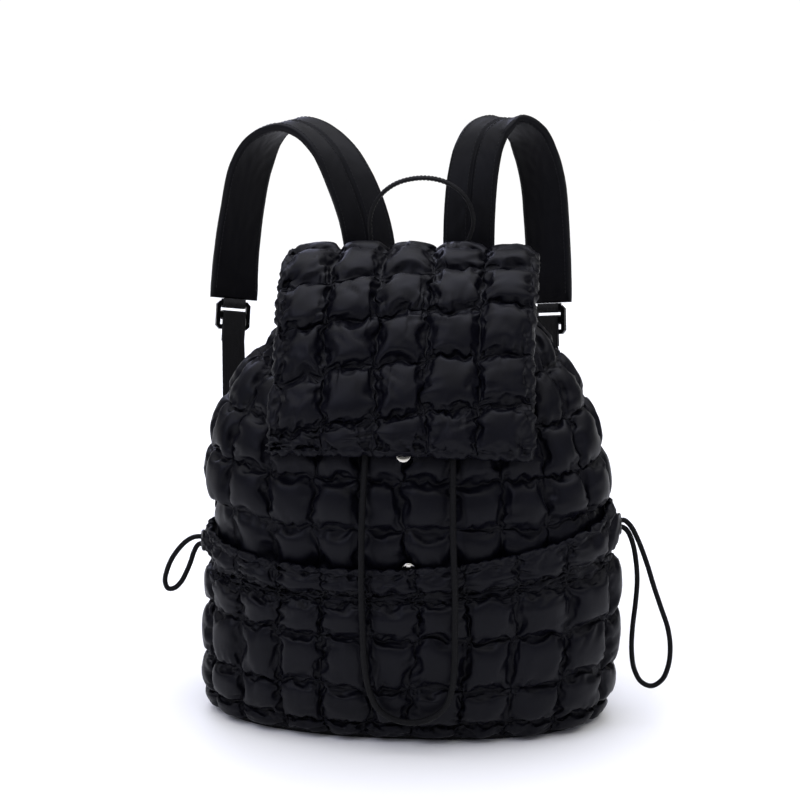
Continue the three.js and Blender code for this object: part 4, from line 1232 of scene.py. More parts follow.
@dataclass
class Stitching:
    """Rows of lockstitch, one small thread bar each.

    Attributes:
        pitch: The length of a stitch with its hole.
        bar: The length that shows.
        width: The thread's width.
        height: How far it stands off the cloth.
    """

    pitch: float = 3.6 * MM
    bar: float = 2.6 * MM
    width: float = 0.55 * MM
    height: float = 0.4 * MM

    def bars(self, path: Array, normals: Array) -> list[tuple[Array, Array, Array]]:
        """Lays stitches along a line.

        Args:
            path: Points of the line.
            normals: The way off the cloth at each.

        Returns:
            The middle, the way along and the way off the cloth of each stitch.
        """
        lengths = distances(path)
        if lengths[-1] < self.pitch:
            return []
        count = int(lengths[-1] / self.pitch)
        found = []
        for start in (np.arange(count) + 0.5) * lengths[-1] / count:
            ends = [
                np.array([np.interp(start + side * self.bar / 2, lengths, path[:, k]) for k in range(3)])
                for side in (-1, 1)
            ]
            out = np.array([np.interp(start, lengths, normals[:, k]) for k in range(3)])
            found.append(((ends[0] + ends[1]) / 2, unit(ends[1] - ends[0]), unit(out)))
        return found

    def build(self, name: str, runs: list[tuple[Array, Array]], slot: str) -> bpy.types.Object:
        """Makes one piece of all the stitches along some lines.

        Args:
            name: The piece's name.
            runs: Each line's points and the ways off the cloth.
            slot: Not used.

        Returns:
            The finished piece.
        """
        bars = [bar for path, normals in runs for bar in self.bars(path, normals)]
        middle, along, out = (np.array([bar[k] for bar in bars]) for k in range(3))
        side = unit(np.cross(out, along))
        out = np.cross(along, side)
        ring = [(-0.5, -0.4), (0.5, -0.4), (0.32, 0.8), (-0.32, 0.8)]
        ends = [(-0.5, 0.4), (-0.34, 1.0), (0.34, 1.0), (0.5, 0.4)]
        points = np.stack(
            [
                middle + along * self.bar * reach
                + side * self.width * w * full + out * self.height * h * full
                for reach, full in ends
                for w, h in ring
            ],
            1,
        )
        count = points.shape[1]
        faces = [
            [4 * s + k, 4 * s + (k + 1) % 4, 4 * s + 4 + (k + 1) % 4, 4 * s + 4 + k]
            for s in range(3)
            for k in range(4)
        ]
        faces += [[3, 2, 1, 0], [12, 13, 14, 15]]
        maker = MeshMaker()
        flat = points.reshape(-1, 3)
        numbers = maker.put(flat, flat[:, [0, 2]])
        maker.join((numbers[::count, None, None] + np.array(faces)[None]).reshape(-1, 4))
        piece = maker.finish(name, THREAD)
        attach(piece, "root")
        return piece


def quilting_runs(sheet: QuiltedSheet, sink: float) -> list[tuple[Array, Array]]:
    """Finds the seam lines of a quilted sheet.

    Args:
        sheet: A sheet that has been built.
        sink: How far off the seam the thread lies.

    Returns:
        Each seam's points and the ways off the cloth.
    """
    points, row, column = sheet.seams
    outwards = sheet.facing * grid_normals(points, sheet.wrap)
    step = 2 * sheet.lines
    full = sheet.puffed(row, column)
    lines = [np.s_[r * step, :] for r in range(1, sheet.rows)]
    lines += [np.s_[:, c * step] for c in range(0 if sheet.wrap else 1, sheet.columns)]
    runs = []
    for line in lines:
        path, way, shown = points[line], outwards[line], full[line]
        for start, stop in stretches(shown):
            if stop - start > step // 2:
                runs.append((path[start:stop] + way[start:stop] * sink, way[start:stop]))
    return runs


def stretches(shown: Array) -> list[tuple[int, int]]:
    """Finds the unbroken stretches of a row of yes and no, as start and stop numbers."""
    edges = np.flatnonzero(np.diff(np.concatenate([[0], shown.astype(int), [0]])))
    return list(zip(edges[0::2].tolist(), edges[1::2].tolist()))


# Bands


@dataclass
class Stations:
    """Places along a band: its middle, the way its width runs and the way out of its outer face."""

    middle: Array
    across: Array
    out: Array
    tangent: Array

    @classmethod
    def along(cls, points: Array, width_ways: Array) -> "Stations":
        """Lays stations through points.

        Args:
            points: The band's middle line.
            width_ways: The wanted way across at each point, which is turned square to the band.

        Returns:
            The stations.
        """
        steps = unit(np.diff(points, axis=0))
        before = np.concatenate([steps[:1], steps])
        after = np.concatenate([steps, steps[-1:]])
        tangent = unit(before + after)
        across = unit(width_ways - tangent * np.einsum("ij,ij->i", width_ways, tangent)[:, None])
        stretch = np.einsum("ij,ij->i", tangent, before)[:, None]
        return cls(points, across, np.cross(across, tangent) / stretch, tangent)


def rounded_section(width: float, thickness: float, corner: float) -> Array:
    """Makes a band's section with rounded edges.

    Args:
        width: Its width.
        thickness: Its thickness.
        corner: The radius of its corners, at most half its thickness.

    Returns:
        Points across and out, once round from the middle of the outer face.
    """
    quarter = np.linspace(0, np.pi / 2, 5)
    flat = np.linspace(0, 1, 7)[:-1] * (width / 2 - corner)
    top = [(x, thickness / 2) for x in flat]
    bend = [(width / 2 - corner * (1 - np.sin(a)), thickness / 2 - corner * (1 - np.cos(a))) for a in quarter]
    right = top + bend
    under = [(x, -y) for x, y in reversed(right[:-1])]
    half = right + under
    return np.array(half + [(-x, y) for x, y in reversed(half[1:-1])])


def swept(
    name: str, stations: Stations, section: Callable[[float], Array], finish: Finish
) -> bpy.types.Object:
    """Sweeps a section along stations and closes its ends.

    Args:
        name: The piece's name.
        stations: The places along the band.
        section: The section's points, across and out, at a share of the band's length.
        finish: Its material.

    Returns:
        The finished piece.
    """
    count = len(stations.middle)
    sections = np.stack([section(k / (count - 1)) for k in range(count)])
    sides, heights = sections[..., :1] * stations.across[:, None], sections[..., 1:] * stations.out[:, None]
    points = stations.middle[:, None] + sides + heights
    maker = MeshMaker()
    maker.tube(points, cloth_grid(distances(stations.middle), distances(closed(sections[0]))))
    piece = maker.finish(name, finish)
    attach(piece, "root")
    return piece


class ShoulderStrap:
    """One padded shoulder strap with its slider, loop, webbing and side tab."""

    width = 42 * MM
    thickness = 7 * MM
    rise = 156 * MM
    swing = 56 * MM
    root_x = 40 * MM
    root_up = 0.88
    back_share = 0.46
    flap_wall = 3 * MM
    groove = 1.6 * MM
    groove_reach = 2.2 * MM
    groove_stitch = 2.6 * MM
    edge_reach = 3.4 * MM
    unevenness = 0.22 * MM
    topstitch = 3.2 * MM
    webbing_width = 20 * MM
    webbing_thickness = 1.6 * MM
    webbing_corner = 0.7 * MM
    webbing_tail = 10 * MM
    slider_bar = 4 * MM
    slider_slot = 6 * MM
    slider_thickness = 3 * MM
    tight_bend = 1.1 * MM
    loose_bend = 14 * MM
    short_run = 30 * MM
    routes = {
        "left": Table(
            "place across back up turn roll",
            (0, 0.0, 0.0, 0.04, 0, 0), (1, 0.0, 0.02, 0.15, 0, 0), (2, 0.002, 0.14, 0.3, 6, 0),
            (3, 0.022, 0.26, 0.52, 20, 0), (4, 0.066, 0.42, 0.74, 30, 2), (5, 0.112, 0.6, 0.885, 44, 4),
            (6, 0.174, 0.8, 0.98, 56, 6), (7, 0.232, 0.92, 1.0, 62, 6), (8, 0.293, 1.0, 0.925, 54, 3),
            (9, 0.337, 1.0, 0.77, 45, 0), (10, 0.362, 0.94, 0.53, 44, 0), (11, 0.376, 0.8, 0.28, 40, 0),
            (12, 0.38, 0.66, 0.07, 32, 0),
        ),
        "right": Table(
            "place across back up turn roll",
            (0, 0.0, 0.0, 0.04, 0, 0), (1, 0.0, 0.02, 0.15, 0, 0), (2, -0.003, 0.14, 0.3, 0, 0),
            (3, -0.003, 0.26, 0.55, 4, 0), (4, 0.004, 0.4, 0.76, 14, 0), (5, 0.018, 0.56, 0.9, 22, 0),
            (6, 0.042, 0.74, 0.985, 28, 0), (7, 0.088, 0.9, 1.02, 36, 0), (8, 0.135, 0.97, 0.96, 36, 0),
            (9, 0.162, 1.0, 0.85, 34, 0), (10, 0.182, 0.98, 0.7, 32, 0), (11, 0.193, 0.9, 0.5, 32, 0),
            (12, 0.201, 0.78, 0.26, 32, 0), (13, 0.205, 0.68, 0.07, 32, 0),
        ),
    }
    hang = ((0.15, 0.02, 0.1), (0.32, 0.05, 0.3), (0.5, 0.06, 0.5), (0.68, 0.05, 0.7), (0.86, 0.02, 0.92))

    def __init__(self, side: int, name: str, form: SackForm) -> None:
        """Lays out the strap's route.

        Args:
            side: -1 for the left strap and 1 for the right one.
            name: left or right.
            form: The sack that it is sewn to.
        """
        self.side = side
        self.name = name
        self.form = form
        self.tab = SideTab(side, name, form)
        route = self.routes[name]
        seat = SackForm.depth * self.back_share + self.flap_wall + 2 * TOUCH_GAP
        columns = route.columns
        x = side * (self.root_x + SackForm.width * columns["across"])
        y = seat + self.thickness / 2 + self.swing * columns["back"]
        z = SackForm.floor + SackForm.height * self.root_up + self.rise * columns["up"]
        points = np.stack([x, y, z], 1)
        shares = np.linspace(0, 1, 169)
        last = columns["place"][-1]
        turn, roll = (np.radians(route.smooth("place", key, shares * last)) for key in ("turn", "roll"))
        flat = np.cos(roll)
        ways = np.stack([np.cos(turn) * flat, -side * np.sin(turn) * flat, -side * np.sin(roll)], 1)
        self.stations = Stations.along(SmoothPath(points).at(shares), ways)

    def _section(self, share: float) -> Array:
        """Gives the padded section: full between the seams, with a channel down the outer face."""
        half, thick = self.width / 2, self.thickness / 2
        across = np.concatenate([np.linspace(0, 0.9, 25), [0.94, 0.97, 0.99]])
        ends = np.clip(min(share, 1 - share) / 0.02, 0, 1)
        seam = np.minimum(np.abs(across * half) / self.groove_reach, 1)
        edge = np.minimum((1 - across) * half / self.edge_reach, 1)
        same = np.ones_like(across)
        places = np.stack([across * 3, same * share * 34, same * self.side * 5.0], -1)
        wave = self.unevenness * np.sin(across * 9 + share * 60) * smooth_noise(places, 11)
        full = thick * (0.42 + 0.58 * np.sqrt(np.maximum(1 - (1 - edge) ** 2, 0))) * (0.62 + 0.38 * ends)
        outer = full + wave - self.groove * (1 - seam) ** 1.3
        inner = full + wave
        right = list(zip(across * half, outer)) + [(half, 0.0)] + list(zip(across[::-1] * half, -inner[::-1]))
        left = [(-x, y) for x, y in reversed(right[1:-1])]
        return np.array(right + left)

    def build(self) -> list[bpy.types.Object]:
        """Makes the strap and all that hangs on it.

        Returns:
            The finished pieces.
        """
        strap = swept(f"strap_{self.name}_padding", self.stations, self._section, STRAP_NYLON)
        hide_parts(f"shoulder_strap_{self.name}")
        return [strap, self._stitches(), *self._webbing(), *self.tab.build()]

    def _stitches(self) -> bpy.types.Object:
        """Makes the topstitching along both edges and both sides of the channel."""
        middle, across, out = self.stations.middle, self.stations.across, unit(self.stations.out)
        runs = []
        for reach, faces in ((self.width / 2 - self.topstitch, (1, -1)), (self.groove_stitch, (1,))):
            for way in (-1, 1):
                for face in faces:
                    path = middle + across * way * reach + out * face * self.thickness / 2
                    runs.append((path[3:-3], face * out[3:-3]))
        return Stitching().build(f"strap_{self.name}_stitching", runs, "strap_nylon")

    def _webbing(self) -> list[bpy.types.Object]:
        """Makes the loop that holds the slider and the webbing that runs through it to the side tab."""
        end = self.stations.middle[-1]
        across = self.stations.across[-1]
        out = unit(self.stations.out[-1])
        down = self.stations.tangent[-1]
        thick = self.webbing_thickness
        tall = 3 * self.slider_bar + 2 * self.slider_slot
        bar_top = 2 * TOUCH_GAP + thick
        centre = end + down * (bar_top + tall / 2)

        def place(rows: list[tuple[float, float]]) -> Array:
            """Turns places down from the slider's middle and out from it to points."""
            return np.array([centre + down * lower + out * outer for lower, outer in rows])

        layer = thick + TOUCH_GAP
        off = self.slider_thickness / 2 + TOUCH_GAP + thick / 2
        round_bar = TOUCH_GAP + thick / 2
        top = -tall / 2
        loop_end = top - bar_top + TOUCH_GAP
        under = top + self.slider_bar + round_bar
        loop = place([(loop_end, off), (under, off), (under, -off), (loop_end, -off)])
        bar = self.slider_bar / 2 + round_bar
        tail = -top + self.webbing_tail
        threaded = place(
            [(tail, -off), (bar, -off), (bar, off), (-bar, off), (-bar, -off - layer), (tail, -off - layer)]
        )
        on_tab = self.tab.sewn_line(thick)
        hanging = [
            threaded[-1] + (on_tab[0] - threaded[-1]) * share + np.array([0, self.swing * behind, 0])
            for share, behind, _ in self.hang
        ]
        line = np.array([*threaded, *hanging, *on_tab])
        turns = np.array([0.0] * 6 + [turn for _, _, turn in self.hang] + [1.0, 1.0])
        ways = across + (self.side * self.tab.out - across) * turns[:, None]
        made = []
        for name, points, width_ways in (("loop", loop, np.tile(across, (4, 1))), ("webbing", line, ways)):
            piece = self._tape(f"strap_{self.name}_{name}", points, width_ways)
            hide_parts(f"strap_{name}_{self.name}")
            made.append(piece)
        return made

    def _tape(self, name: str, corners: Array, ways: Array) -> bpy.types.Object:
        """Makes one piece of webbing through corner points, with its bends rounded.

        Args:
            name: The piece's name.
            corners: The corner points.
            ways: The way across at each.

        Returns:
            The finished piece.
        """
        points, across = [corners[0]], [ways[0]]
        for k in range(1, len(corners) - 1):
            lengths = [np.linalg.norm(corners[k + step] - corners[k]) for step in (-1, 1)]
            bend = self.tight_bend if min(lengths) < self.short_run else self.loose_bend
            cut = [min(bend, 0.45 * length) / length for length in lengths]
            start, stop = (corners[k] + (corners[k + step] - corners[k]) * cut[step > 0] for step in (-1, 1))
            first, last = (ways[k] + (ways[k + step] - ways[k]) * cut[step > 0] for step in (-1, 1))
            for t in np.linspace(0, 1, 6):
                points.append((1 - t) ** 2 * start + 2 * t * (1 - t) * corners[k] + t * t * stop)
                across.append((1 - t) ** 2 * first + 2 * t * (1 - t) * ways[k] + t * t * last)
        points.append(corners[-1])
        across.append(ways[-1])
        section = rounded_section(self.webbing_width, self.webbing_thickness, self.webbing_corner)
        stations = Stations.along(np.array(points), np.array(across))
        return swept(name, stations, lambda share: section, WEBBING)


class SideTab:
    """The cloth tab in a side seam that holds the webbing's lower end."""

    reach = 40 * MM
    height = 48 * MM
    thickness = 3 * MM
    middle_up = 0.2193
    column = 7
    root_gap = 2.4 * MM
    seam_off = 1.25 * MM
    webbing_at = 0.42
    sewn = 0.33
    outline = ((0, -0.5), (1, -0.46), (0.72, 0.5), (0, 0.5))

    def __init__(self, side: int, name: str, form: SackForm) -> None:
        """Places the tab.

        Args:
            side: -1 for the left and 1 for the right.
            name: left or right.
            form: The sack that it stands in a seam of.
        """
        self.name = name
        around = np.array([side * self.column / form.columns])
        up = np.array([self.middle_up])
        out = form.normals(around, up)[0] * np.array([1, 1, 0])
        self.out = unit(out)
        self.root = form.points(around, up)[0] + self.out * self.root_gap
        self.face = np.cross(np.array([0, 0, side]), self.out)
        self.up = np.array([0.0, 0.0, 1.0])

    def sewn_line(self, webbing: float) -> Array:
        """Gives the webbing's line on the tab, for a webbing of that thickness."""
        off = self.thickness / 2 + TOUCH_GAP + webbing / 2
        middle = self.root + self.out * self.reach * self.webbing_at + self.face * off
        return np.array([middle + self.up * self.height / 2, middle - self.up * self.height * self.sewn])

    def build(self) -> list[bpy.types.Object]:
        """Makes the tab, soft and rounded at its edges, and its stitching.

        Returns:
            The finished pieces.
        """
        corners = np.array(self.outline) * np.array([self.reach, self.height])
        outline = closed(corners)
        edge = np.concatenate([np.linspace(*outline[k : k + 2], 15)[:-1] for k in range(len(corners))])
        edge = (np.roll(edge, 1, 0) + 2 * edge + np.roll(edge, -1, 0)) / 4
        middle = edge.mean(0)
        # Shares of the way out to the edge, each with the face's height as a share: the stitching sinks in
        profile = [(0.0, 1.0), (0.5, 1.0), (0.8, 0.95), (0.9, 0.75), (0.94, 1.0), (0.985, 0.75), (1.0, 0.0)]
        rings = profile + [(share, -high) for share, high in profile[-2::-1]]
        points = np.array(
            [
                [
                    self.root + self.out * x + self.up * z + self.face * high * self.thickness / 2
                    for x, z in middle + (edge - middle) * max(share, 0.02)
                ]
                for share, high in rings
            ]
        )
        cloth = np.array([[(x, z) for x, z in middle + (edge - middle) * share] for share, _ in rings])
        maker = MeshMaker()
        maker.tube(points, np.concatenate([cloth, cloth[:, :1]], 1))
        piece = maker.finish(f"side_tab_{self.name}", STRAP_NYLON)
        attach(piece, "root")
        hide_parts(f"strap_anchor_{self.name}")
        ring = closed(middle + (edge - middle) * 0.9)
        runs = []
        for way in (-1, 1):
            seam = self.root + self.face * way * self.seam_off
            path = np.array([seam + self.out * x + self.up * z for x, z in ring])
            runs.append((path, np.tile(way * self.face, (len(path), 1))))
        return [piece, Stitching().build(f"side_tab_{self.name}_stitching", runs, "strap_nylon")]


class HaulHandle:
    """The thin handle of folded tape between the straps."""

    span = 84 * MM
    rise = 77 * MM
    width = 6 * MM
    thickness = 3.2 * MM
    middle_x = 1 * MM
    bow = (
        (-0.93, 0.0), (-0.95, 0.16), (-0.97, 0.36), (-0.98, 0.58), (-0.82, 0.79), (-0.48, 0.94), (0.04, 1.0),
        (0.5, 0.95), (0.85, 0.8), (1.0, 0.58), (0.94, 0.4), (0.74, 0.22), (0.6, 0.0),
    )

    def __init__(self, flap: FlapSheet) -> None:
        """Stands the handle on the flap's back fold."""
        self.y = flap.laid.columns["y"][2] + 3 * MM + TOUCH_GAP + self.width / 2
        self.z = flap.laid.columns["z"][2]

    def _section(self, share: float) -> Array:
        """Gives the folded tape's section, which thickens where its layers cross."""
        section = rounded_section(self.width, self.thickness, 1.5 * MM)
        swell = 1 + 0.06 * math.sin(share * 90) * math.sin(share * 23)
        return section * np.array([1.0, swell])

    def build(self) -> list[bpy.types.Object]:
        """Makes the handle and its stitching.

        Returns:
            The finished pieces.
        """
        bow = np.array(self.bow)
        across, up = self.middle_x + self.span / 2 * bow[:, 0], self.z + self.rise * bow[:, 1]
        points = np.stack([across, np.full(len(bow), self.y), up], 1)
        line = SmoothPath(points).at(np.linspace(0, 1, 120))
        stations = Stations.along(line, np.tile([0.0, 1.0, 0.0], (len(line), 1)))
        handle = swept("haul_handle_tape", stations, self._section, HANDLE_TAPE)
        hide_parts("haul_handle")
        runs = []
        for way in (-1, 1):
            for face in (-1, 1):
                path = line + stations.across * way * 1.5 * MM + stations.out * face * self.thickness / 2
                runs.append((path, face * stations.out))
        stitching = Stitching(pitch=3 * MM, bar=2.1 * MM)
        return [handle, stitching.build("haul_handle_stitching", runs, "handle_nylon")]


class Base:
    """The cloth-covered board that the sack stands on."""

    thickness = 4 * MM
    lip = 2 * MM
    corner = 1.4 * MM
    steps = 176

    def __init__(self, form: SackForm) -> None:
        """Takes the board's outline from the sack.

        Args:
            form: The sack's surface.
        """
        around = np.arange(self.steps) / self.steps
        up = np.zeros(self.steps)
        outwards = unit(form.normals(around, up) * np.array([1, 1, 0]))
        self.edge = form.points(around, up) + outwards * self.lip
        self.outwards = outwards

    def build(self) -> list[bpy.types.Object]:
        """Makes the board with its rounded edge and the stitching round it.

        Returns:
            The finished pieces.
        """
        angles = np.linspace(0, np.pi / 2, 5)
        lower = [(self.corner * (1 - math.sin(a)), self.corner * (1 - math.cos(a))) for a in angles]
        upper = [(inset, self.thickness - high) for inset, high in reversed(lower)]
        under, over = [(14 * MM, 0.0), (6 * MM, 0.0)], [(4 * MM, self.thickness), (14 * MM, self.thickness)]
        rows = [*under, *lower, *upper, *over]
        inset, high = (np.array(rows)[:, k, None, None] for k in (0, 1))
        points = (self.edge - self.outwards * inset) * np.array([1, 1, 0]) + high * np.array([0, 0, 1])
        maker = MeshMaker()
        maker.tube(points, cloth_grid(np.arange(len(rows)) * 4 * MM, np.arange(self.steps + 1) * 5 * MM))
        board = maker.finish("base_board_cover", BASE_NYLON)
        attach(board, "root")
        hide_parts("base_panel")
        side = self.edge * np.array([1, 1, 0]) + np.array([0, 0, self.thickness * 0.55])
        runs = [(closed(side), closed(self.outwards))]
        return [board, Stitching().build("base_stitching", runs, "base_nylon")]


# Hardware and cords


@dataclass(frozen=True)
class TurnedPiece:
    """A round metal piece, turned about its own axis.

    Attributes:
        name: The piece's name.
        node: The CAD node that it stands for.
        profile: Radius and height pairs, closed round on the axis or on themselves.
        finish: Its material.
        slot: Not used.
        sides: How many sides it is turned in.
    """

    name: str
    node: str
    profile: tuple[tuple[float, float], ...]
    finish: Finish
    slot: str
    sides: int = 48

    def build(self, position: Array, axis: Array) -> bpy.types.Object:
        """Makes the piece.

        Args:
            position: Where its axis starts.
            axis: The way that its axis points.

        Returns:
            The finished piece.
        """
        one = unit(np.cross(axis, [0.0, 0.0, 1.0]))
        other = np.cross(axis, one)
        angle = 2 * np.pi * np.arange(self.sides) / self.sides
        ring = np.cos(angle)[:, None] * one + np.sin(angle)[:, None] * other
        profile = np.maximum(np.array(self.profile), [[1e-6, -1.0]])
        points = position + profile[:, :1, None] * ring[None] + profile[:, 1:, None] * axis
        spread = np.arange(self.sides + 1) / self.sides * 2 * np.pi * profile[:, :1].max()
        cloth = cloth_grid(distances(profile), spread)
        maker = MeshMaker()
        if self.profile[0] == self.profile[-1]:
            numbers = maker.grid(points[:-1], cloth[:-1], wrap=True)
            places = np.arange(self.sides + 1.0)
            maker.strip(closed(numbers[0]), places, closed(numbers[-1]), places)
        else:
            maker.tube(points[1:-1], cloth[1:-1])
        piece = maker.finish(self.name, self.finish)
        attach(piece, "root")
        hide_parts(self.node)
        return piece


def arc(radius: float, height: float, size: float, start: float, stop: float) -> list[tuple]:
    """Gives profile points round a corner.

    Args:
        radius: The corner centre's distance from the axis.
        height: The corner centre's height.
        size: The corner's radius.
        start: The first angle in degrees, 0 pointing off the axis.
        stop: The last angle in degrees.

    Returns:
        Radius and height pairs.
    """
    steps = 6
    angles = np.radians(np.linspace(start, stop, steps + 1))
    return [(radius + size * math.cos(a), height + size * math.sin(a)) for a in angles]


class Hardware:
    """The two snaps' caps and the pocket's two eyelets."""

    snaps = (("pocket_snap", 0.415), ("flap_snap", 0.6598))
    eyelet_in = 0.35

    def build(self, sack: SackSheet, pocket: PocketSheet) -> list[bpy.types.Object]:
        """Makes the pieces where the sack and the pocket carry them.

        Args:
            sack: The sack's sheet.
            pocket: The pocket's sheet.

        Returns:
            The finished pieces.
        """
        cap = (
            (0.0, 2 * MM), (1.7 * MM, 2 * MM), (1.7 * MM, 5.6 * MM),
            *arc(4.9 * MM, 6.2 * MM, 0.6 * MM, -90, 0), (5.5 * MM, 6.9 * MM),
            *arc(4.6 * MM, 7.1 * MM, 0.8 * MM, 0, 70), (3.4 * MM, 8.25 * MM), (1.8 * MM, 8.45 * MM),
            (0.0, 8.5 * MM),
        )
        made = []
        for name, up in self.snaps:
            at = np.zeros(1), np.array([up])
            snap = TurnedPiece(f"{name}_cap", name, cap, NICKEL, "nickel_plate")
            made.append(snap.build(sack.form.points(*at)[0], sack.form.normals(*at)[0]))
        ring = (
            (5.3 * MM, 0.5 * MM), *arc(6.1 * MM, 1.6 * MM, 0.8 * MM, 180, 90),
            *arc(7.6 * MM, 1.5 * MM, 0.9 * MM, 90, 0),
            (8.5 * MM, 0.3 * MM), (8.2 * MM, 0.0), (5.6 * MM, 0.0), (5.3 * MM, 0.5 * MM),
        )
        for side, column in (("left", self.eyelet_in), ("right", pocket.columns - self.eyelet_in)):
            position, axis = self._on_casing(pocket, column)
            name = f"pocket_eyelet_{side}"
            eyelet = TurnedPiece(f"{name}_ring", name, ring, ENAMEL, "black_enamelled_brass")
            made.append(eyelet.build(position, axis))
        return made

    @staticmethod
    def _on_casing(pocket: PocketSheet, column: float) -> tuple[Array, Array]:
        """Finds where an eyelet sits on the pocket's casing, and the way that it faces."""
        row = np.array([pocket.rows - 0.5])
        column_at = np.array([column])
        lift = np.array([pocket.wall + 0.7 * pocket.puff + TOUCH_GAP])
        small = 0.1
        across = pocket.place(row, column_at + small, lift) - pocket.place(row, column_at - small, lift)
        upwards = pocket.place(row + small, column_at, lift) - pocket.place(row - small, column_at, lift)
        return pocket.place(row, column_at, lift)[0], unit(np.cross(across, upwards))[0]


@dataclass(frozen=True)
class FreeCord:
    """A braided cord that hangs free between two places on the bag.

    Attributes:
        name: The piece's name, and its CAD node's.
        diameter: The cord's diameter.
        route: Points along it, in millimetres.
        sides: How many sides it is round.
    """

    name: str
    diameter: float
    route: tuple[tuple[float, float, float], ...]
    sides: int = 16

    def build(self) -> bpy.types.Object:
        """Makes the cord as a braided tube along its route.

        Returns:
            The finished piece.
        """
        line = SmoothPath(np.array(self.route) * MM).evenly(0.3 * self.diameter)
        tangent = unit(np.gradient(line, axis=0))
        side = unit(np.cross(tangent[0], [0.3, 0.9, 0.2]))
        sides = []
        for way in tangent:
            side = unit(side - way * float(np.dot(side, way)))
            sides.append(side)
        one = np.array(sides)
        other = np.cross(tangent, one)
        count = self.sides
        angle = 2 * np.pi * np.arange(count) / count
        ring = np.cos(angle)[None, :, None] * one[:, None] + np.sin(angle)[None, :, None] * other[:, None]
        points = line[:, None] + ring * self.diameter / 2
        # A whole number of strands goes round, so that the braid meets itself
        strands = 2 * round(np.pi * self.diameter / BRAIDED_CORD.pitch / 2)
        spread = np.arange(count + 1) / count * strands * BRAIDED_CORD.pitch * math.sqrt(2)
        maker = MeshMaker()
        maker.tube(points, cloth_grid(distances(line), spread))
        piece = maker.finish(f"{self.name}_braid", BRAIDED_CORD)
        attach(piece, "root")
        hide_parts(self.name)
        return piece


DRAWSTRING = FreeCord(
    "drawstring",
    4.8 * MM,
    (
        (-24, -18, 326.5), (-24, -23, 325), (-24.5, -29, 319.5), (-25, -37, 309.5), (-25.5, -46.5, 298),
        (-26, -55.5, 282), (-26.5, -64.5, 266), (-27, -73.2, 250), (-27.5, -80, 235), (-28, -87, 217),
        (-28.5, -94, 196), (-29, -99, 174), (-29, -101.5, 152), (-29, -102.5, 128), (-28, -103, 100),
        (-27, -103, 75), (-24, -101.5, 54), (-17, -99, 37), (-6, -97, 28.5), (8, -96.5, 26),
        (21, -97, 29.5), (32, -99, 39), (38, -101.5, 55), (40, -103, 76), (40, -103, 100),
        (40, -102.5, 128), (39, -101.5, 152), (38, -99, 174), (37.5, -94, 196), (37, -87, 217),
        (36.5, -80, 235), (36, -73.2, 250), (35, -64.5, 266), (34.5, -55.5, 282), (34, -46.5, 298),
        (33, -37, 309.5), (31.5, -29, 319.5), (31, -23, 325), (31, -18, 326.5),
    ),
)
LEFT_LOOP = FreeCord(
    "pocket_cord_left",
    4 * MM,
    (
        (-163, -16, 142), (-167, -16.4, 142.4), (-172, -17, 141.6), (-178, -17.6, 138), (-184.5, -18, 131),
        (-189.5, -18.4, 123.5), (-193.5, -18.6, 114), (-195.2, -18.8, 105), (-192.8, -19, 99.3),
        (-187.5, -19, 100), (-182, -18.8, 105.5), (-177.5, -18.4, 114), (-174, -18, 122.5),
        (-171.5, -17.2, 130), (-168, -16.4, 135.7), (-163, -16, 137),
    ),
)
RIGHT_LOOP = FreeCord(
    "pocket_cord_right",
    4 * MM,
    (
        (161.8, -7.4, 161.1), (166, -7, 161.5), (171, -6.8, 157), (177, -7, 146), (184.5, -8, 127),
        (190, -9, 110), (196, -10, 93), (202, -11, 76), (204.5, -11.5, 60), (203.5, -12, 45),
        (199, -12, 33), (191, -12, 27.5), (183, -12, 30.5), (177, -11.5, 41), (174.6, -11, 56),
        (174.8, -10, 75), (176.5, -9.5, 95), (177.3, -9, 113), (175.8, -8.5, 130), (172.8, -8, 144),
        (169, -7.6, 152.6), (165.4, -7.5, 155.9), (161.8, -7.4, 156.4),
    ),
)


# Studio


@dataclass(frozen=True)
class Lamp:
    """A soft box of light.

    Attributes:
        name: Its name.
        place: Where it stands.
        size: Its width and height.
        power: Its power in watts.
        colour: The colour of its light.
    """

    name: str
    place: tuple[float, float, float]
    size: tuple[float, float]
    power: float
    colour: str = "#d8dcff"

    def build(self, target: Vector) -> None:
        """Hangs the lamp, facing a point."""
        light = bpy.data.lights.new(self.name, "AREA")
        light.shape = "RECTANGLE"
        light.size, light.size_y = self.size
        light.energy = self.power
        light.color = linear(self.colour)[:3]
        lamp = bpy.data.objects.new(self.name, light)
        lamp.location = self.place
        lamp.rotation_mode = "QUATERNION"
        lamp.rotation_quaternion = (target - Vector(self.place)).to_track_quat("-Z", "Y")
        bpy.context.collection.objects.link(lamp)


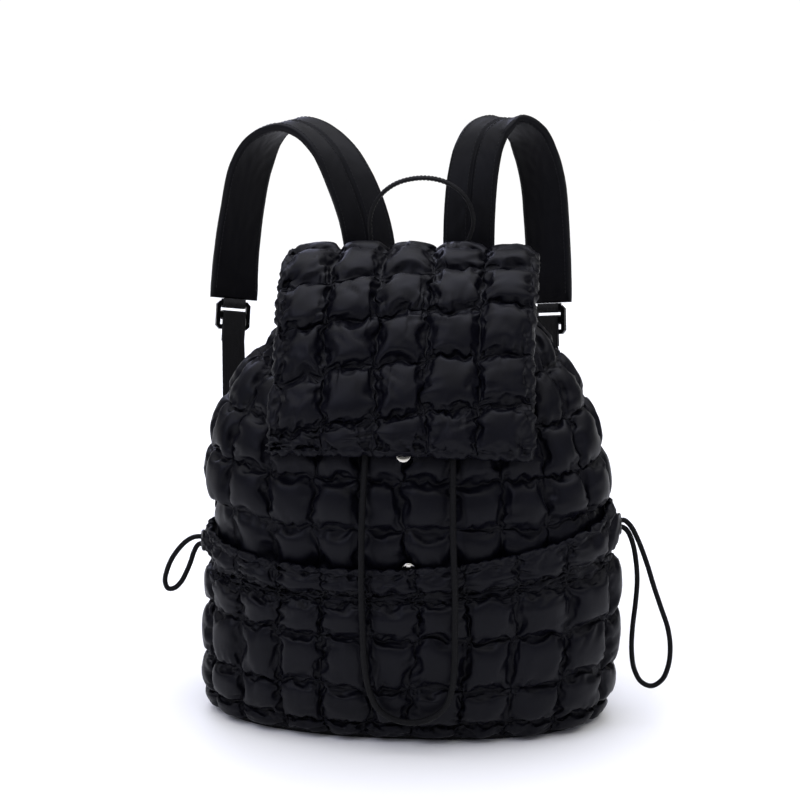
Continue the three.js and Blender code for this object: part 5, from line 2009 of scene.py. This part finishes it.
@dataclass
class Studio:
    """The camera at the photograph's angle, the pale floor and the soft light."""

    azimuth: float = 5.0
    elevation: float = 12.5
    distance: float = 1.3
    target: tuple[float, float, float] = (-0.0093, -0.0008, 0.2523)
    sensor: float = 36.0
    focal: float = 1673 / 800 * 36
    floor_radius: float = 9.0
    sky: str = "#ffffff"
    sky_strength: float = 0.12
    band_strength: float = 0.93
    top_strength: float = 1.78
    lamps: tuple[Lamp, ...] = (
        Lamp("key_light", (-1.3, -1.5, 1.7), (1.2, 1.2), 13.0),
        Lamp("fill_light", (1.5, -1.3, 0.9), (1.0, 0.8), 2.5),
        Lamp("top_light", (0.1, 0.3, 2.2), (1.4, 1.4), 12.0),
        Lamp("back_light", (-0.9, 1.9, 1.3), (1.0, 1.0), 12.0),
    )

    def camera(self) -> None:
        """Sets up the camera."""
        az, el = math.radians(self.azimuth), math.radians(self.elevation)
        back = Vector((math.sin(az) * math.cos(el), -math.cos(az) * math.cos(el), math.sin(el)))
        lens = bpy.data.cameras.new("photo_camera")
        lens.lens = self.focal
        lens.sensor_width = self.sensor
        lens.clip_start = 0.05
        lens.clip_end = 60.0
        camera = bpy.data.objects.new("photo_camera", lens)
        camera.location = Vector(self.target) + self.distance * back
        camera.rotation_mode = "QUATERNION"
        camera.rotation_quaternion = (-back).to_track_quat("-Z", "Y")
        bpy.context.collection.objects.link(camera)
        bpy.context.scene.camera = camera

    def floor(self) -> None:
        """Lays the floor."""
        angle = 2 * np.pi * np.arange(96) / 96
        ring = np.stack([np.cos(angle), np.sin(angle), np.zeros(96)], 1)
        radii = (0.4, 1.5, 4.0, self.floor_radius)
        points = np.array([ring * radius for radius in radii])
        cloth = np.concatenate([points, points[:, :1]], 1)[..., :2]
        maker = MeshMaker()
        numbers = maker.grid(points[::-1], cloth[::-1], wrap=True)
        maker.fan(numbers[-1], flip=False)
        floor = maker.finish("studio_floor", STUDIO_PAPER)

    def light(self) -> None:
        """Sets the lamps and the surroundings: dim walls, a bright ceiling and white beyond the floor."""
        for lamp in self.lamps:
            lamp.build(Vector(self.target))
        world = bpy.data.worlds.new("studio")
        world.use_nodes = True
        tree = world.node_tree
        tree.nodes.clear()
        place = add_node(tree, "ShaderNodeTexCoord")
        way = add_node(tree, "ShaderNodeSeparateXYZ", links={0: place.outputs["Generated"]})
        height = {"Value": way.outputs["Z"]}
        settings = {"From Min": 0.03, "From Max": 0.08, "To Min": self.band_strength, "To Max": 0.0}
        band = add_node(tree, "ShaderNodeMapRange", settings, height)
        settings = {
            "interpolation_type": "SMOOTHSTEP",
            "From Min": 0.4, "From Max": 0.9, "To Min": self.sky_strength, "To Max": self.top_strength,
        }
        dome = add_node(tree, "ShaderNodeMapRange", settings, height)
        links = {0: band.outputs[0], 1: dome.outputs[0]}
        both = add_node(tree, "ShaderNodeMath", {"operation": "ADD"}, links)
        links = {"Strength": both.outputs[0]}
        glow = add_node(tree, "ShaderNodeBackground", {"Color": linear(self.sky)}, links)
        add_node(tree, "ShaderNodeOutputWorld", links={"Surface": glow.outputs[0]})
        bpy.context.scene.world = world
        bpy.context.scene.view_settings.view_transform = "Standard"


def main() -> None:
    """Builds every piece in order."""
    logging.basicConfig(level=logging.INFO, format="%(message)s")
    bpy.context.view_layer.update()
    studio = Studio()
    studio.camera()
    for cord in (DRAWSTRING, LEFT_LOOP, RIGHT_LOOP):
        log.info("%s", cord.build().name)
    sack, pocket, flap = SackSheet(), PocketSheet(), FlapSheet()
    for sheet in (sack, pocket, flap):
        log.info("%s", sheet.build().name)
        runs = quilting_runs(sheet, -0.1 * MM)
        log.info("%s", Stitching().build(f"{sheet.name}_stitching", runs, "quilted_nylon").name)
    straps = [ShoulderStrap(side, name, sack.form) for side, name in ((-1, "left"), (1, "right"))]
    makers = [Base(sack.form), *straps, HaulHandle(flap)]
    for maker in makers:
        for piece in maker.build():
            log.info("%s", piece.name)
    for piece in Hardware().build(sack, pocket):
        log.info("%s", piece.name)
    for side in ("left", "right"):
        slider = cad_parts[f"strap_slider_{side}"]
        slider.data.materials.clear()
        slider.data.materials.append(ACETAL.material())
    studio.floor()
    studio.light()


if __name__ == "__main__":
    main()
